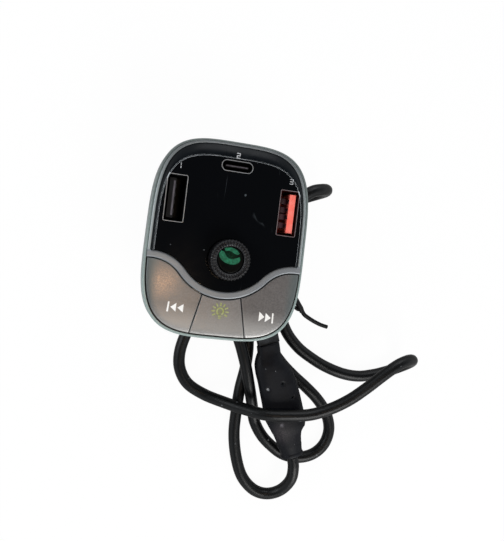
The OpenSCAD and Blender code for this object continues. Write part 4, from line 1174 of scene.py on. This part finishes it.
tie = {
    "middle": (21.7, -11.8, 3.25), "reach": 2.05, "wrap": 2.5, "diameter": 1.35, "turns": 2, "pitch": 1.2,
    "tail": [
        (26.3, -12.4, 3.2), (28.3, -13.6, 3.2), (30.1, -15.9, 3.3), (31.3, -17.5, 3.2), (32.5, -19.0, 3),
        (33.6, -20.4, 2.9), (35.5, -21.5, 2.8), (37.7, -22.5, 2.7), (40, -23.3, 2.6), (42.3, -23.8, 2.5),
    ],
    "swell": [(0, 1.0), (5, 1.3), (8.6, 1.35), (9.6, 1.05), (30, 0.95)],  # mm along the tail, share
    "twist": [
        [(26.3, -13.2, 3.5), (28.4, -14.6, 4.2), (30.3, -16.6, 4.3), (31.6, -18.3, 4.0), (32.3, -19.7, 3.5)],
        [(26.2, -13.4, 2.8), (28.0, -15.8, 2.5), (29.8, -17.9, 2.5), (31.1, -18.9, 2.5), (32.3, -19.0, 2.8)],
    ],
    "twistShare": 0.84, "step": 0.3, "perTurn": 40,
    "square": 3,  # how sharply the loop turns at its ends
    "sides": 10, "tailSides": 12,
}


def buildTie():
    # Loop: a stadium round both strands with a small pitch; then the free end, and the twist's short ends
    s = tie
    radius = s["diameter"] / 2
    t = np.linspace(0, s["turns"], s["perTurn"] * s["turns"])
    c = np.cos(2 * math.pi * t)
    x = s["middle"][0] + np.sign(c) * s["reach"] * np.minimum(1, np.abs(c) * s["square"]) + s["wrap"] * c
    y = s["middle"][1] + s["pitch"] * (t - s["turns"] / 2)
    z = s["middle"][2] + s["wrap"] * np.sin(2 * math.pi * t)
    tail, run = smoothPath(s["tail"], s["step"])
    swell = np.interp(run, *zip(*s["swell"]))
    grids = [tubeGrid(np.stack([x, y, z], -1), radius, s["sides"])]
    grids.append(tubeGrid(tail, swell * radius, s["tailSides"]))
    for end in s["twist"]:
        grids.append(tubeGrid(smoothPath(end, s["step"])[0], s["twistShare"] * radius, s["sides"]))
    return pieceFrom("wireTie", [shellOf(grid) for grid in grids], "tieCoat", node="twist_tie", crease=50)


wireTie = buildTie()
print("stage: cord, plug and tie made")

studio = {
    "floor": 3.0,  # m
    "paper": 0.93,
    "seen": 0.96,  # share of plain white where the camera sees the paper
    "mirrored": 0.4,  # its strength in reflections, dimmer so that the cord's edges stay dark
    # place in mm, size in mm, watts, colour
    "lamps": {
        "keyLamp": ((170, -330, 330), 260, 1.3, (1.0, 0.99, 0.97)),
        "fillLamp": ((-330, 60, 240), 240, 0.5, (0.93, 0.97, 1.0)),
        "backLamp": ((60, 360, 260), 220, 0.35, (0.96, 0.98, 1.0)),
        "warmLamp": ((10, -36, 300), 22, 0.05, (1.0, 0.72, 0.48)),
    },
    "aim": (5, -15, 15),
    # height of the direction, colour: bright round the horizon, dark straight above
    "room": [
        (0.0, (1.0, 1.0, 1.0)), (0.35, (0.86, 0.9, 0.94)), (0.7, (0.5, 0.53, 0.56)),
        (0.86, (0.12, 0.13, 0.14)), (1.0, (0.05, 0.05, 0.055)),
    ],
}


def addFloor():
    material, tree, shader, _ = newMaterial("floorPaper")
    tree.nodes.remove(shader)
    diffuse = put(tree, "ShaderNodeBsdfDiffuse", [("Color", (*[studio["paper"]] * 3, 1.0))])
    path = put(tree, "ShaderNodeLightPath").outputs
    mirrored = path["Is Glossy Ray"]
    strength = calc(tree, "MULTIPLY_ADD", mirrored, studio["mirrored"] - 1, 1.0)
    white = put(tree, "ShaderNodeEmission", [("Color", (1.0, 1.0, 1.0, 1.0)), ("Strength", strength)])
    seen = calc(tree, "ADD", path["Is Camera Ray"], path["Is Transmission Ray"], clamp=True)
    seen = calc(tree, "MULTIPLY_ADD", seen, studio["seen"], mirrored, clamp=True)
    mix = put(tree, "ShaderNodeMixShader", [(0, seen), (1, diffuse.outputs[0]), (2, white.outputs[0])])
    feed(tree, tree.nodes["Material Output"].inputs["Surface"], mix.outputs[0])
    half = studio["floor"] / 2
    corners = [(x * half, y * half, 0) for x, y in ((-1, -1), (1, -1), (1, 1), (-1, 1))]
    mesh = bpy.data.meshes.new("floor")
    mesh.from_pydata(corners, [], [(0, 1, 2, 3)])
    mesh.materials.append(material)
    addObject("floor", mesh)


def addLamps():
    for name, (place, size, power, colour) in studio["lamps"].items():
        data = bpy.data.lights.new(name, "AREA")
        data.shape = "DISK"
        data.size = size * mm
        data.energy = power
        data.color = colour
        lamp = addObject(name, data)
        lamp.location = Vector(place) * mm
        lamp.rotation_euler = (Vector(studio["aim"]) - Vector(place)).to_track_quat("-Z", "Y").to_euler()


def addSurroundings():
    world = bpy.data.worlds.new("room")
    bpy.context.scene.world = world
    world.use_nodes = True
    tree = world.node_tree
    up = xyz(tree, put(tree, "ShaderNodeTexCoord").outputs["Generated"])["Z"]
    shade = put(tree, "ShaderNodeValToRGB", [("Fac", up)])
    elements = shade.color_ramp.elements
    while len(elements) < len(studio["room"]):
        elements.new(0.5)
    for element, (height, colour) in zip(elements, studio["room"]):
        element.position = height
        element.color = (*colour, 1.0)
    background = tree.nodes["Background"]
    feed(tree, background.inputs["Color"], shade.outputs["Color"])
    feed(tree, background.inputs["Strength"], 1.0)


addFloor()
addLamps()
addSurroundings()
bpy.context.scene.view_settings.view_transform = "Standard"
print("stage: studio made")
